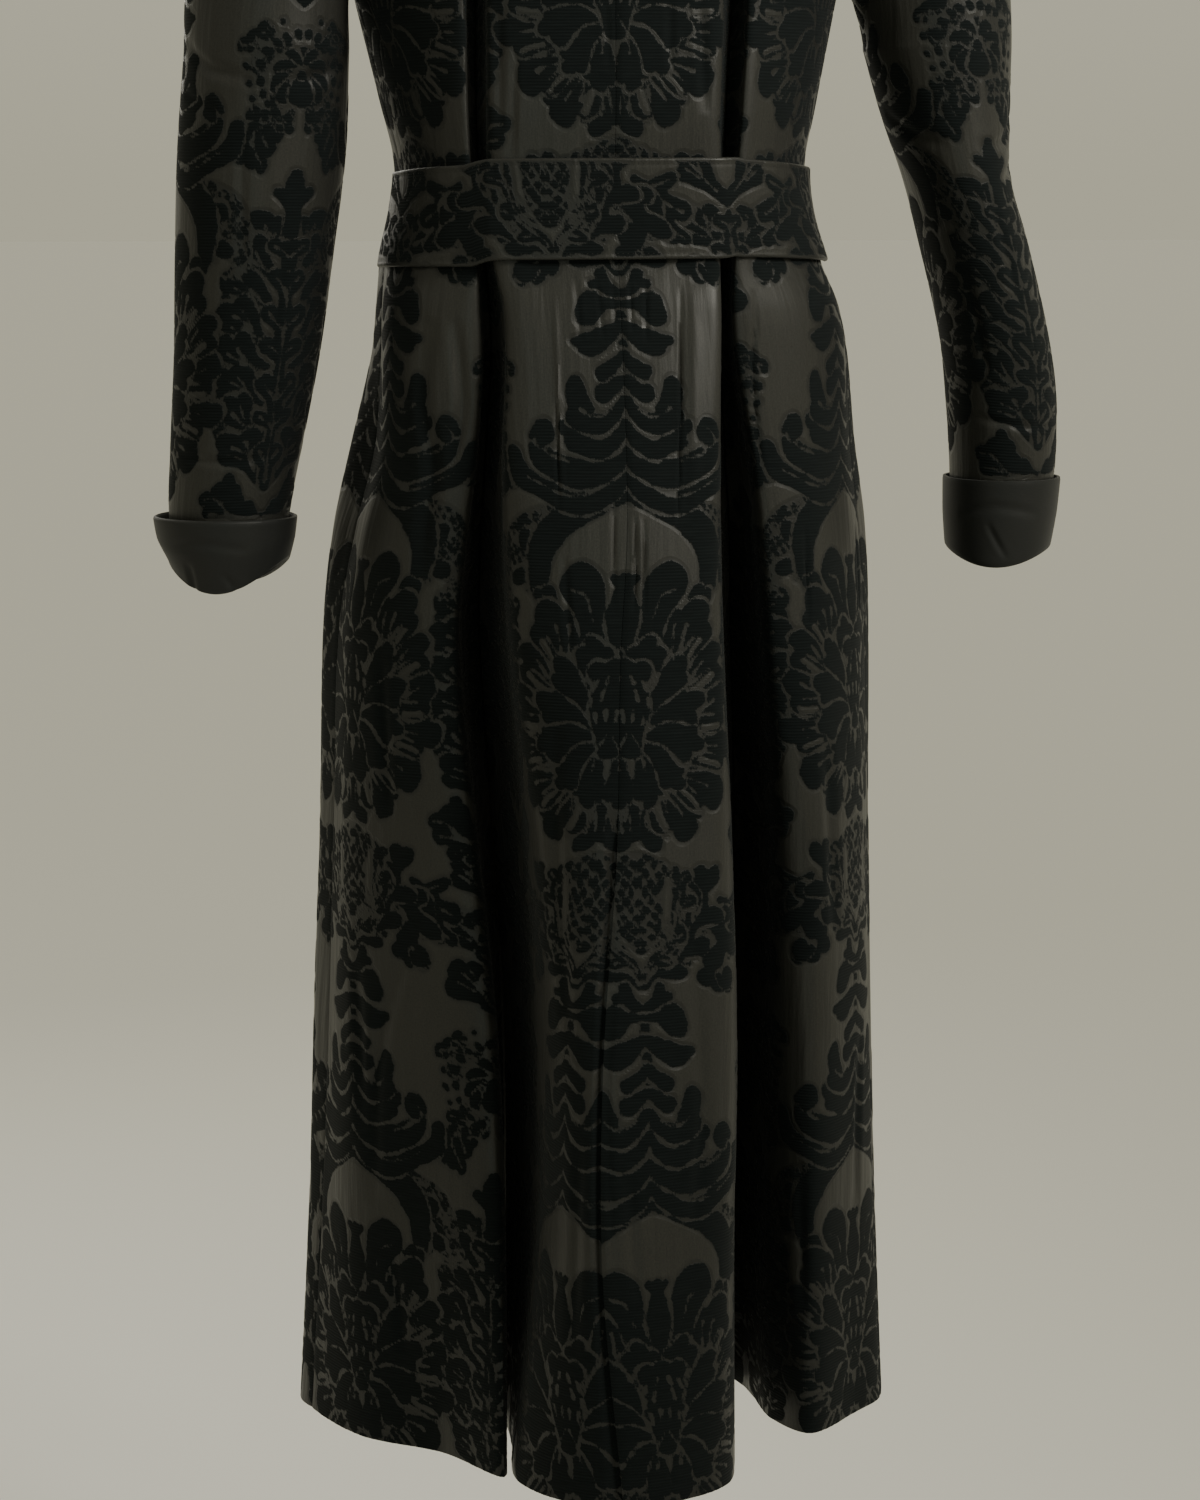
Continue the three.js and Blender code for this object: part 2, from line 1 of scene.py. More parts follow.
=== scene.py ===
# %% [markdown]
# A black damask coat around a fixed frame
#
# The model of the coat's pieces, at their real size, is loaded first and never moved. Everything after
# this gives those pieces their cloth: a fine thin shell over each panel, the woven figure, the creases
# and the stitching. The scene is in metres. The coat's draft and all that is sewn from it is in
# millimetres, and MM turns one into the other.

# %% Load the frame
import math

import bpy
import numpy as np
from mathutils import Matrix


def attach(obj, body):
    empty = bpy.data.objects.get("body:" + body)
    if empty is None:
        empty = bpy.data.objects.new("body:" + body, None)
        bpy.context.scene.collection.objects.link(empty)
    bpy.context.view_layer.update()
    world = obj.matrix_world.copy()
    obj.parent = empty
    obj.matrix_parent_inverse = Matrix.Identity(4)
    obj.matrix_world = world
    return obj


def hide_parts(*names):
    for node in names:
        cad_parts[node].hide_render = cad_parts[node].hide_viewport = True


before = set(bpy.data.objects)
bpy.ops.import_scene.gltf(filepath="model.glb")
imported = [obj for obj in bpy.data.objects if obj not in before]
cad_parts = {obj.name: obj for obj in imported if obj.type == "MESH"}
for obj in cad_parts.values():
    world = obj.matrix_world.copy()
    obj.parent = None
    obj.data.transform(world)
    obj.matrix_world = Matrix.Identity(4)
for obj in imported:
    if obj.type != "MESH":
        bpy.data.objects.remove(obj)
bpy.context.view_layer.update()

BODY = "root"
MM = 0.001

# %% [markdown]
# The camera
#
# The picture is taken from behind the coat, at about waist height, a little from its left side and
# tilted down. It frames the coat from the chest to just above the hem. A long lens keeps the
# perspective flat. The lens is worked out from how many pixels an angle covers, because the frame's
# long side is the one that Blender's sensor size belongs to.

# %% Place the camera
CAMERA_DISTANCE = 2.52
CAMERA_HEIGHT = -0.379
CAMERA_TURN = math.radians(-5.5)
CAMERA_TILT = math.radians(9.0)
PIXELS_PER_RADIAN = 3600
IMAGE_HIGH = 1500
SENSOR = 36.0

lens = bpy.data.cameras.new("camera")
lens.sensor_width = SENSOR
lens.sensor_fit = "AUTO"
lens.lens = PIXELS_PER_RADIAN * SENSOR / IMAGE_HIGH
camera = bpy.data.objects.new("camera", lens)
bpy.context.scene.collection.objects.link(camera)
camera.location = (
    CAMERA_DISTANCE * math.sin(CAMERA_TURN),
    -CAMERA_DISTANCE * math.cos(CAMERA_TURN),
    CAMERA_HEIGHT,
)
camera.rotation_euler = (math.pi / 2 - CAMERA_TILT, 0, CAMERA_TURN)
bpy.context.scene.camera = camera
print("lens", round(lens.lens, 1), "mm")

# %% [markdown]
# The stage
#
# A pale floor well below the hem and a pale, even surrounding light stand for a plain studio. The key
# lamp stands to the upper right of the coat's back. Its spread is narrow, so it picks out the satin and
# leaves the backdrop alone. A weak, slightly blue lamp lifts the shadows, and a third one lights the
# coat's front, for the views from there. Black cloth falls towards black even in a bright room, so none
# of them is strong. The floor's colour is chosen so that the lit floor meets the horizon without a line.

# %% Build the floor, the lamps and the surrounding light
FLOOR_Z = -1.75
FLOOR_SIZE = 160.0
SKY_COLOUR = (0.86, 0.83, 0.66, 1)
HORIZON_COLOUR = (0.64, 0.61, 0.46, 1)
SKY_STRENGTH = 0.72
HORIZON_HIGH = 0.3
FLOOR_COLOUR = (0.76, 0.75, 0.715, 1)
LAMPS = [
    dict(name="key", place=(1.4, -1.45, 0.8), target=(0, 0, -0.4), size=0.7, power=11,
         colour=(1, 0.97, 0.88), spread=math.radians(72)),
    dict(name="fill", place=(-0.7, -3.2, -0.5), target=(0, 0, -0.6), size=1.6, power=4,
         colour=(0.6, 0.98, 1), spread=math.pi),
    dict(name="front", place=(-0.9, 2.6, 0.4), target=(0, 0, -0.6), size=1.4, power=12,
         colour=(1, 0.97, 0.9), spread=math.pi),
]


def add_light(name, place, target, size, power, colour, spread):
    """A soft square lamp at a place, turned to a target."""
    data = bpy.data.lights.new(name, "AREA")
    data.size = size
    data.energy = power
    data.color = colour
    data.spread = spread
    lamp = bpy.data.objects.new(name, data)
    bpy.context.scene.collection.objects.link(lamp)
    lamp.location = place
    lamp.visible_camera = False
    way = np.array(place) - np.array(target)
    flat = math.hypot(way[0], way[1])
    lamp.rotation_euler = (math.atan2(flat, way[2]), 0, math.atan2(way[0], -way[1]))


bpy.ops.mesh.primitive_plane_add(size=FLOOR_SIZE, location=(0, 0, FLOOR_Z))
floor = bpy.context.object
floor.name = "floor"
floor_paint = bpy.data.materials.new("floor_paint")
floor_paint.use_nodes = True
floor_shader = floor_paint.node_tree.nodes["Principled BSDF"]
floor_shader.inputs["Base Color"].default_value = FLOOR_COLOUR
floor_shader.inputs["Roughness"].default_value = 0.9
floor.data.materials.append(floor_paint)

world = bpy.data.worlds.new("studio")
world.use_nodes = True
bpy.context.scene.world = world
sky = world.node_tree
direction = sky.nodes.new("ShaderNodeTexCoord")
parted = sky.nodes.new("ShaderNodeSeparateXYZ")
risen = sky.nodes.new("ShaderNodeMapRange")
risen.inputs["From Max"].default_value = HORIZON_HIGH
blend = sky.nodes.new("ShaderNodeMix")
blend.data_type = "RGBA"
blend.inputs[6].default_value = HORIZON_COLOUR
blend.inputs[7].default_value = SKY_COLOUR
sky.links.new(direction.outputs["Generated"], parted.inputs[0])
sky.links.new(parted.outputs["Z"], risen.inputs["Value"])
sky.links.new(risen.outputs[0], blend.inputs[0])
sky.links.new(blend.outputs[2], sky.nodes["Background"].inputs["Color"])
sky.nodes["Background"].inputs["Strength"].default_value = SKY_STRENGTH
for lamp in LAMPS:
    add_light(**lamp)
print("stage ready, lamps:", len(LAMPS))

# %% [markdown]
# The coat's shape as numbers
#
# The coat was drafted as level sections: sixteen places round each half, from the centre back to the
# centre front, at a few heights. The same tables are repeated here, in millimetres, so that the fine
# cloth lies exactly where the plain solids lie. A smooth curve through each column gives every height
# between the rows. Above the picture the tables are plainer: there the shares say how far each place
# lies from the centre to the side. Each fold of a pleat lies between two named places, a share of the
# way from one to the other, and a few millimetres out.

# %% The tables of the draft
HEM = -1262
VENT_TOP = -832
VENT_LAP = 0.8
FRONT_LAP = 0.75
UNDER_LAP_PLACE = -0.95
LAP_STEP = 4.5
LAP_RAMP = 0.3
LAP_RAMP_LONG = 0.24
PLEAT_START = -130
PHOTO_TOP = -257
FRONT_NECK_DROP = 58
NECK_DROP_REACH = 190
SHOULDER = -58
UNDERARM = -243
ARMHOLE_HALF_WIDTH = 1.18
ROUND_POWER = 2.4
PLEAT_SIDES = (0.88, 1.12)
BACK_SHARES = (0.44, 0.84)
FRONT_SHARES = (0.955, 0.74, 0.38)
PANEL_SHARE = (0.56, 0.26)
PLEAT_DEEP = 60
PLEAT_FOLDS = (
    ("edge", "pleat", 0.5, -4), ("pleat", "edge", 0.16, -4), ("pleat", "rim", 0, 0),
    ("pleat", "rim", 0.2, 4), ("rim", "pleat", 0.5, 3),
)
PLEAT_SEAM = 5
SIDE_SEAM = 11
CENTRE_FRONT = 15
ROUND = 30


def table(columns, *rows):
    """A table's columns by name."""
    return dict(zip(columns.split(), np.array(rows, float).T))


SHOULDERS = table(
    "z half back front seam",
    (0, 72, 62, 58, 24),
    (-20, 118, 74, 70, 36),
    (-40, 156, 83, 80, 47),
    (-58, 184, 89, 88, 56),
    (-90, 186, 97, 100, 64),
    (-130, 183, 103, 111, 71),
    (-200, 174, 108, 121, 79),
    (-257, 166, 108, 122, 84),
)
CENTRE = table(
    "z seam y",
    (-257, 0, -108), (-330, 0, -110), (-369, 0, -107), (-400, 1, -106), (-432, 2, -107),
    (-465, 3, -114), (-500, 4, -121), (-563, 5, -133), (-620, 4, -144), (-690, -1, -155),
    (-820, -5, -169), (-960, -16, -187), (-1100, -18, -201), (-1262, -4, -206),
)
BACK_COLUMNS = "z edgeX edgeY pleatX pleatY rimX rimY crestX crestY hipX hipY sideX sideY"
BACK_RIGHT = table(
    BACK_COLUMNS,
    (-257, 72, -99, 82, -72, 92, -90, 122, -72, 150, -40, 163, -2),
    (-330, 69, -103, 78, -76, 88, -93, 112, -76, 138, -42, 149, -2),
    (-369, 70, -101, 77, -76, 85, -93, 108, -76, 132, -40, 142, -2),
    (-400, 70, -100, 77, -75, 84, -92, 110, -76, 134, -41, 144, -2),
    (-432, 70, -101, 76, -74, 83, -92, 114, -76, 143, -42, 153, -2),
    (-465, 70, -108, 76, -68, 82, -93, 122, -80, 155, -44, 166, -2),
    (-500, 69, -114, 77, -60, 85, -91, 126, -80, 160, -44, 173, 0),
    (-563, 67, -123, 82, -46, 97, -87, 132, -78, 163, -42, 177, 2),
    (-620, 66, -130, 87, -34, 104, -85, 138, -78, 169, -40, 184, 4),
    (-690, 67, -137, 90, -22, 110, -83, 140, -79, 174, -40, 189, 4),
    (-820, 71, -150, 96, 2, 120, -76, 144, -80, 177, -40, 192, 4),
    (-960, 74, -160, 98, 24, 121, -66, 144, -79, 178, -42, 195, 0),
    (-1100, 72, -166, 98, 40, 119, -54, 143, -77, 178, -42, 199, -2),
    (-1262, 74, -164, 101, 55, 121, -42, 143, -74, 182, -34, 207, 0),
)
BACK_LEFT = table(
    BACK_COLUMNS,
    (-257, 82, -94, 90, -68, 100, -86, 128, -68, 154, -38, 166, -2),
    (-330, 82, -97, 90, -70, 98, -88, 116, -74, 138, -42, 148, -2),
    (-369, 82, -95, 89, -70, 96, -87, 112, -74, 130, -42, 139, -2),
    (-400, 81, -95, 88, -70, 94, -87, 112, -74, 132, -42, 142, -2),
    (-432, 79, -97, 85, -70, 92, -88, 114, -74, 140, -42, 149, -2),
    (-465, 72, -105, 81, -64, 91, -88, 120, -78, 146, -46, 152, -4),
    (-500, 71, -109, 80, -56, 89, -87, 124, -78, 148, -46, 153, -4),
    (-563, 73, -115, 83, -44, 93, -85, 128, -76, 151, -44, 158, -2),
    (-620, 71, -121, 86, -34, 101, -84, 136, -74, 164, -38, 172, 2),
    (-690, 66, -128, 87, -24, 108, -82, 146, -69, 174, -34, 184, 8),
    (-820, 54, -139, 78, -6, 97, -86, 144, -69, 176, -32, 189, 12),
    (-960, 48, -144, 70, 6, 84, -98, 138, -73, 178, -36, 194, 14),
    (-1100, 52, -144, 68, 14, 80, -114, 130, -80, 178, -42, 200, 16),
    (-1262, 71, -149, 77, 0, 80, -141, 120, -88, 174, -50, 210, 16),
)
FRONT = table(
    "z wideLeft wideRight wideY quarterX quarterY nearX nearY centreY",
    (-257, 164, 160, 38, 128, 88, 62, 116, 122),
    (-330, 147, 146, 36, 112, 82, 54, 104, 110),
    (-369, 139, 140, 34, 106, 76, 50, 96, 101),
    (-400, 142, 144, 34, 106, 76, 50, 95, 100),
    (-432, 149, 153, 34, 110, 80, 52, 98, 104),
    (-465, 153, 168, 36, 120, 88, 56, 106, 112),
    (-500, 157, 176, 38, 126, 94, 58, 112, 118),
    (-563, 172, 184, 40, 136, 100, 62, 122, 130),
    (-620, 185, 193, 42, 144, 106, 66, 130, 138),
    (-690, 193, 196, 44, 150, 112, 70, 138, 146),
    (-820, 197, 197, 46, 156, 120, 74, 150, 158),
    (-960, 203, 200, 48, 162, 128, 78, 158, 168),
    (-1100, 208, 203, 48, 168, 136, 82, 168, 176),
    (-1262, 217, 208, 42, 176, 144, 88, 176, 184),
)
SLEEVE_LEFT = table(
    "z outer inner midY halfY",
    (-290, 284, 172, 0, 56), (-359, 290, 175, 6, 55), (-427, 293, 184, 12, 54), (-496, 295, 194, 18, 52),
    (-566, 299, 208, 24, 48), (-612, 301, 217, 28, 45), (-660, 297, 222, 31, 42),
)
SLEEVE_RIGHT = table(
    "z outer inner midY halfY",
    (-290, 286, 184, 0, 58), (-331, 286, 197, 4, 59), (-379, 288, 215, 8, 60), (-420, 301, 227, 12, 59),
    (-486, 319, 244, 18, 55), (-531, 327, 250, 22, 51), (-580, 328, 254, 26, 47), (-648, 322, 256, 30, 42),
)
CUFFS = {
    "left": dict(top=-612, bottom=-663, rise=22, outer=8, inner=3, turn=0.25),
    "right": dict(top=-588, bottom=-650, rise=12, outer=2, inner=2, turn=-0.3),
}
BELT = table(
    "place top bottom",
    (-10.95, -374, -439), (-9, -370, -437), (-4, -366, -433), (3, -364, -431), (8, -365, -430),
    (10.8, -371, -436),
)
print("tables:", len(BACK_RIGHT["z"]), "sections of the skirt")

# %% Read the tables and draw the sections


def mix(a, b, t):
    return a + (b - a) * t


def ease(t):
    s = np.clip(t, 0, 1)
    return s * s * (3 - 2 * s)


def read(sections, name, at, along="z"):
    """A column as a smooth curve of another column, straight on past its ends."""
    order = np.argsort(sections[along])
    x, y = sections[along][order], sections[name][order]
    low, high = np.maximum(np.arange(len(x)) - 1, 0), np.minimum(np.arange(len(x)) + 1, len(x) - 1)
    slope = (y[high] - y[low]) / (x[high] - x[low])
    at = np.asarray(at, float)
    inside = np.clip(at, x[0], x[-1])
    i = np.clip(np.searchsorted(x, inside) - 1, 0, len(x) - 2)
    width = x[i + 1] - x[i]
    t = (inside - x[i]) / width
    curve = y[i] * (2 * t**3 - 3 * t**2 + 1) + slope[i] * width * (t**3 - 2 * t**2 + t)
    curve += y[i + 1] * (3 * t**2 - 2 * t**3) + slope[i + 1] * width * (t**3 - t**2)
    return curve + np.where(at < inside, slope[0], slope[-1]) * (at - inside)


def trunk_places(z):
    """Places of the plain rounded trunk at heights z."""
    half, back, front, seam = (read(SHOULDERS, name, z) for name in ("half", "back", "front", "seam"))

    def bow(x, depth):
        return depth * (1 - (x / half) ** ROUND_POWER) ** (1 / ROUND_POWER)

    def at(x, depth, way):
        return np.stack([x, way * bow(x, depth)], -1)

    edge, rim = (seam * share for share in PLEAT_SIDES)
    zero = np.zeros_like(z)
    return [
        np.stack([zero, -back], -1), at(edge, back, -1), at(seam, back, -1), at(rim, back, -1),
        *[at(mix(rim, half, share), back, -1) for share in BACK_SHARES], np.stack([half, zero], -1),
        *[at(half * share, front, 1) for share in FRONT_SHARES], np.stack([zero, front], -1),
    ]


def pleated_places(z, right):
    """Places of the pleated coat below, from the tables."""
    half, side, wide = (BACK_RIGHT, 1, "wideRight") if right else (BACK_LEFT, -1, "wideLeft")

    def spot(sections, x, y):
        return np.stack([read(sections, x, z), read(sections, y, z)], -1)

    return [
        spot(CENTRE, "seam", "y") * (side, 1),
        *[spot(half, name + "X", name + "Y") for name in ("edge", "pleat", "rim", "crest", "hip", "side")],
        spot(FRONT, wide, "wideY"), spot(FRONT, "quarterX", "quarterY"), spot(FRONT, "nearX", "nearY"),
        spot(FRONT, "centreY", "centreY") * (0, 1),
    ]


def half_section(z, right, bridged):
    """The sixteen places of half a section at each height. Bridged, the pleat is passed straight."""
    opened = ease((PLEAT_START - z) / (PLEAT_START - PHOTO_TOP))[:, None]
    plain = trunk_places(np.maximum(z, PHOTO_TOP))
    pleated = pleated_places(np.minimum(z, PLEAT_START), right)
    p = [mix(a, b, opened) for a, b in zip(plain, pleated)]
    centre, edge, pleat, rim = p[:4]
    panel = mix(centre, edge, np.array(PANEL_SHARE))
    if bridged:
        steps = len(PLEAT_FOLDS) + 1
        folds = [mix(edge, rim, k / steps) for k in range(1, steps)]
    else:
        deep = np.clip((pleat[:, 1] - edge[:, 1]) / PLEAT_DEEP, 0, 1)
        out = np.stack([deep, 0 * deep], -1)
        ends = {"edge": edge, "pleat": pleat, "rim": rim}
        folds = [mix(ends[a], ends[b], share) + move * out for a, b, share, move in PLEAT_FOLDS]
    return np.stack([centre, panel, edge, *folds, *p[3:]], 1)


LEVEL_STEP = 1.5
SPAN_SAMPLES = 32
BELOW_HEM = 6
TINY = 1e-6


class Section:
    """The coat's outer face, kept as level curves that are read at any place and height."""

    def __init__(self, bridged):
        self.levels = np.arange(HEM - BELOW_HEM, 1.0, LEVEL_STEP)
        right = half_section(self.levels, True, bridged)
        left = half_section(self.levels, False, bridged) * (-1, 1)
        corners = np.concatenate([right, left[:, -2:0:-1]], 1)
        p = [np.roll(corners, 1 - k, 1)[:, :, None] for k in range(4)]
        knot = [np.sqrt(np.hypot(*np.moveaxis(b - a, -1, 0)))[..., None] + TINY for a, b in zip(p, p[1:])]
        k1, k2, k3 = knot[0], knot[0] + knot[1], knot[0] + knot[1] + knot[2]
        s = k1 + (k2 - k1) * (np.arange(SPAN_SAMPLES) / SPAN_SAMPLES)[None, None, :, None]
        a1, a2 = mix(p[0], p[1], s / k1), mix(p[1], p[2], (s - k1) / (k2 - k1))
        a3 = mix(p[2], p[3], (s - k2) / (k3 - k2))
        b1, b2 = mix(a1, a2, s / k2), mix(a2, a3, (s - k1) / (k3 - k1))
        curve = mix(b1, b2, (s - k1) / (k2 - k1)).reshape(len(self.levels), -1, 2)
        self.curve = np.concatenate([curve, curve[:, :1]], 1)

    def point(self, place, row):
        """Points in millimetres at places round the coat and rows down it."""
        place, row = np.broadcast_arrays(np.asarray(place, float), np.asarray(row, float))
        turn = np.mod(place, ROUND)
        frontness = ease(1 - np.abs(turn - CENTRE_FRONT) / (CENTRE_FRONT - SIDE_SEAM))
        z = row - FRONT_NECK_DROP * frontness * ease(1 + row / NECK_DROP_REACH)
        last = len(self.levels) - 1.001        # just short of the last level, so one more is left above
        level = np.clip((z - self.levels[0]) / LEVEL_STEP, 0, last)
        column = turn * SPAN_SAMPLES
        i, j = level.astype(int), np.minimum(column.astype(int), ROUND * SPAN_SAMPLES - 1)
        s, t = (level - i)[..., None], (column - j)[..., None]
        above = mix(self.curve[i + 1, j], self.curve[i + 1, j + 1], t)
        below = mix(self.curve[i, j], self.curve[i, j + 1], t)
        return np.concatenate([mix(below, above, s), z[..., None]], -1)


coat_face = Section(bridged=False)
waist_face = Section(bridged=True)
print("sections drawn:", coat_face.curve.shape)

# %% [markdown]
# The woven figure
#
# Damask shows one large repeat of flowers, leaves and scrolls. Here the repeat is drafted from
# curved strokes of changing width: each leaf is painted over the ones before it with a narrow line of
# ground around it, which is how the weave parts one petal from the next. What is kept is a distance in
# millimetres, below zero inside the figure. A distance can be stored on a mesh of 2 to 3 mm cells and
# still gives a crisp edge when the material cuts it near zero.

# %% A field of distances, and strokes to paint in it
REPEAT_HIGH = 470.0
REPEAT_HALF = 118.0
RASTER = 0.6
FAR = 8.0
GAP = 2.1

across = np.arange(-3.0, REPEAT_HALF + 3.0, RASTER)
down = np.arange(0.0, REPEAT_HIGH, RASTER)
field = np.full((len(down), len(across)), FAR, np.float32)


def bent(a, b, c, d, t):
    """A smooth curve from b to c that takes its slopes from a and d."""
    square, cube = 2 * a - 5 * b + 4 * c - d, 3 * b - a - 3 * c + d
    return 0.5 * (2 * b + (c - a) * t + square * t**2 + cube * t**3)


def smooth(points, radii, step=1.2):
    """Places and widths along a smooth curve through a few given places."""
    p = np.array(points, float)
    r = np.interp(np.linspace(0, 1, len(p)), np.linspace(0, 1, len(radii)), radii)
    q = np.column_stack([p, r])
    q = np.vstack([2 * q[0] - q[1], q, 2 * q[-1] - q[-2]])
    run = []
    for a, b, c, d in zip(q[:-3], q[1:-2], q[2:-1], q[3:]):
        t = np.linspace(0, 1, max(int(math.dist(b[:2], c[:2]) / step), 2), endpoint=False)[:, None]
        run.append(bent(a, b, c, d, t))
    return np.vstack([*run, q[-2]])


def near(line, reach):
    """The part of the field round a line, and its distance to the line's edge."""
    low, high = line[:, :2].min(0) - reach, line[:, :2].max(0) + reach
    columns = np.flatnonzero((across >= low[0]) & (across <= high[0]))
    rows = np.arange(int(low[1] // RASTER), int(high[1] // RASTER) + 2)
    u, v = across[columns][None, :, None], (rows * RASTER)[:, None, None]
    gap = (np.hypot(u - line[:, 0], v - line[:, 1]) - line[:, 2]).min(2)
    return np.ix_(rows % len(down), columns), gap


print("repeat of", 2 * REPEAT_HALF, "by", REPEAT_HIGH, "mm, drafted at", RASTER, "mm")

# %% Leaves, veins, scrolls and netting
LATTICE_LEAN = 0.8


def leaf(*strokes, gap=GAP):
    """One woven mass of several strokes, parted from what lies under it by a line of ground."""
    line = np.vstack([smooth(points, radii) for points, radii in strokes])
    cells, inside = near(line, line[:, 2].max() + FAR)
    field[cells] = np.minimum(np.maximum(field[cells], gap - inside), inside)


def vein(points, half_width=1.05):
    """A narrow line of ground drawn through the figure."""
    cells, inside = near(smooth(points, [half_width]), half_width + FAR)
    field[cells] = np.maximum(field[cells], -inside)


def frond(spine, width, lobes, sides=(-1, 1), lean=0.7, veined=True, gap=GAP):
    """A leaf with round lobes along its spine, from the root to the tip."""
    line = smooth(spine, [1], 1.0)[:, :2]
    way = np.gradient(line, axis=0)
    way /= np.linalg.norm(way, axis=1, keepdims=True)
    aside = np.stack([-way[:, 1], way[:, 0]], 1)
    strokes = [(spine, [width * 0.3, width * 0.42, width * 0.4])]
    ribs = []
    for k in range(lobes):
        at = int((k + 0.7) / (lobes + 0.3) * (len(line) - 1))
        size = width * (0.72 + 0.38 * np.sin(np.pi * (k + 1.2) / (lobes + 1.6)))
        for side in sides:
            out = aside[at] * side * np.cos(lean) + way[at] * np.sin(lean)
            end = line[at] + out * size
            strokes.append(([line[at], end], [size * 0.36, size * 0.46]))
            ribs.append([line[max(at - 3, 0)], line[at] + out * size * 0.35, line[at] + out * size * 1.05])
    leaf(*strokes, gap=gap)
    if veined:
        vein(line[3:int(len(line) * 0.86):6], 0.95)
        for rib in ribs[:: 2 if len(ribs) > 5 else 1]:
            vein(rib, 0.8)


def curl(centre, size, start, sweep, width):
    """A scroll that winds in to a round bud."""
    t = np.linspace(0, 1, 14)
    turn = np.radians(start + sweep * t)
    reach = size * (1 - 0.8 * t)
    points = np.stack([centre[0] + reach * np.cos(turn), centre[1] + reach * np.sin(turn)], 1)
    leaf((points, [width * 0.8, width, width * 0.9, width * 1.25]), gap=1.4)


def lattice(low, high, left, right, pitch, half_width=0.85):
    """Crossed lines of ground over a part of the figure."""
    span = high - low + right - left
    for start in np.arange(-span, span, pitch):
        for way, root in ((-1, right - start), (1, left + start)):
            line = [(root + way * (v - low) * LATTICE_LEAN, v) for v in np.linspace(low, high, 12)]
            line = [(u, v) for u, v in line if left <= u <= right]
            if len(line) > 1:
                vein(line, half_width)


def dots(places, size):
    for place in places:
        leaf(([place, (place[0] + 0.4, place[1])], [size, size]), gap=1.2)


print("strokes ready")

# %% Draft the motifs, from the back to the front


def petal(root, tip, width, veined=True):
    """A petal that ends in three round lobes."""
    root, tip = np.array(root, float), np.array(tip, float)
    way = (tip - root) / math.dist(root, tip)
    aside = np.array([-way[1], way[0]])
    strokes = [([root, tip], [width * 0.34, width * 0.56, width * 0.5])]
    for side in (-1, 1):
        end = tip - way * width * 0.5 + aside * side * width * 0.62
        strokes.append(([mix(root, tip, 0.4), end], [width * 0.3, width * 0.44]))
    leaf(*strokes)
    if veined:
        vein([mix(root, tip, 0.3), mix(root, tip, 0.6) + aside * 1.2, mix(root, tip, 0.9)], 0.95)
        for side in (-1, 1):
            fork = mix(root, tip, 0.86) + aside * side * width * 0.42
            vein([mix(root, tip, 0.58) + aside * side * 2, fork], 0.85)


def drapery():
    """Lobed leaves that hang beside the cone."""
    frond([(60, 384), (76, 400), (76, 424)], 12, 3)
    frond([(20, 402), (44, 398), (58, 414), (54, 440)], 14, 4, (-1, 1), veined=False)
    vein([(26, 404), (44, 403), (53, 416)], 0.9)
    frond([(10, 404), (24, 408), (30, 424)], 9, 2)
    curl((64, 436), 7, 180, -250, 3.4)


def cone():
    frond([(2, 436), (26, 418), (42, 392), (44, 366)], 13, 4)
    frond([(2, 432), (20, 410), (27, 384), (26, 362)], 9, 4, (1,))
    leaf(
        ([(0, 372), (0, 390), (0, 414)], [19, 15, 6]), ([(12, 364), (17, 362)], [6, 6]),
        ([(0, 360), (1, 360)], [7, 7]),
    )
    lattice(352, 416, -6, 26, 8.4)


def plant():
    """A standing spray: each pair of leaves hangs from the stem and turns up at its ends."""
    leaf(([(0, 540), (0, 500), (0, 458)], [3, 4, 4]))
    leaf(([(1, 572), (14, 584), (34, 589), (56, 583), (72, 570), (76, 560)], [5, 8, 8, 8, 8, 7]))
    vein([(10, 574), (26, 584), (48, 584), (66, 573)], 0.8)
    leaf(([(1, 556), (10, 566), (26, 573), (44, 569), (56, 557), (60, 544)], [4, 7, 8, 8, 7, 5]))
    vein([(40, 566), (52, 556), (57, 546)], 0.8)
    curl((55, 547), 8, 0, -290, 3.6)
    leaf(([(1, 541), (8, 551), (20, 557), (34, 552)], [3, 5, 7, 8]), ([(30, 548), (39, 541)], [8, 6]))
    leaf(([(1, 524), (8, 534), (20, 539), (31, 533)], [3, 5, 7, 7]), ([(28, 528), (34, 517)], [7, 7]))
    vein([(10, 531), (20, 534), (29, 527)], 0.7)
    leaf(([(1, 508), (7, 515), (14, 520)], [3, 5, 6]))
    leaf(([(1, 494), (7, 500), (13, 506)], [3, 4.5, 5]))
    leaf(([(1, 478), (12, 482), (22, 489)], [4, 6.5, 7]), ([(18, 482), (28, 484)], [6, 4.5]))
    leaf(([(1, 458), (12, 458), (22, 464)], [5, 8, 9.5]))
    vein([(6, 467), (7, 472)], 3.4)
    leaf(([(1, 452), (8, 448), (13, 440)], [3, 4.6, 4]), ([(11, 446), (18, 448)], [4, 3]))


def arch():
    """Two broad arms that sweep out from the axis, with netting beside them."""
    leaf(([(58, 606), (74, 616), (80, 640)], [10, 12, 9]))
    lattice(590, 660, 52, 92, 6.4, 0.8)
    frond([(0, 590), (22, 594), (44, 604), (58, 622), (62, 648)], 13, 4, (-1,), veined=False)
    leaf(([(0, 586), (22, 592), (44, 604), (56, 622), (58, 646), (50, 660)], [6, 8, 9, 9, 7, 4]))
    curl((50, 652), 8, 0, 290, 3.6)


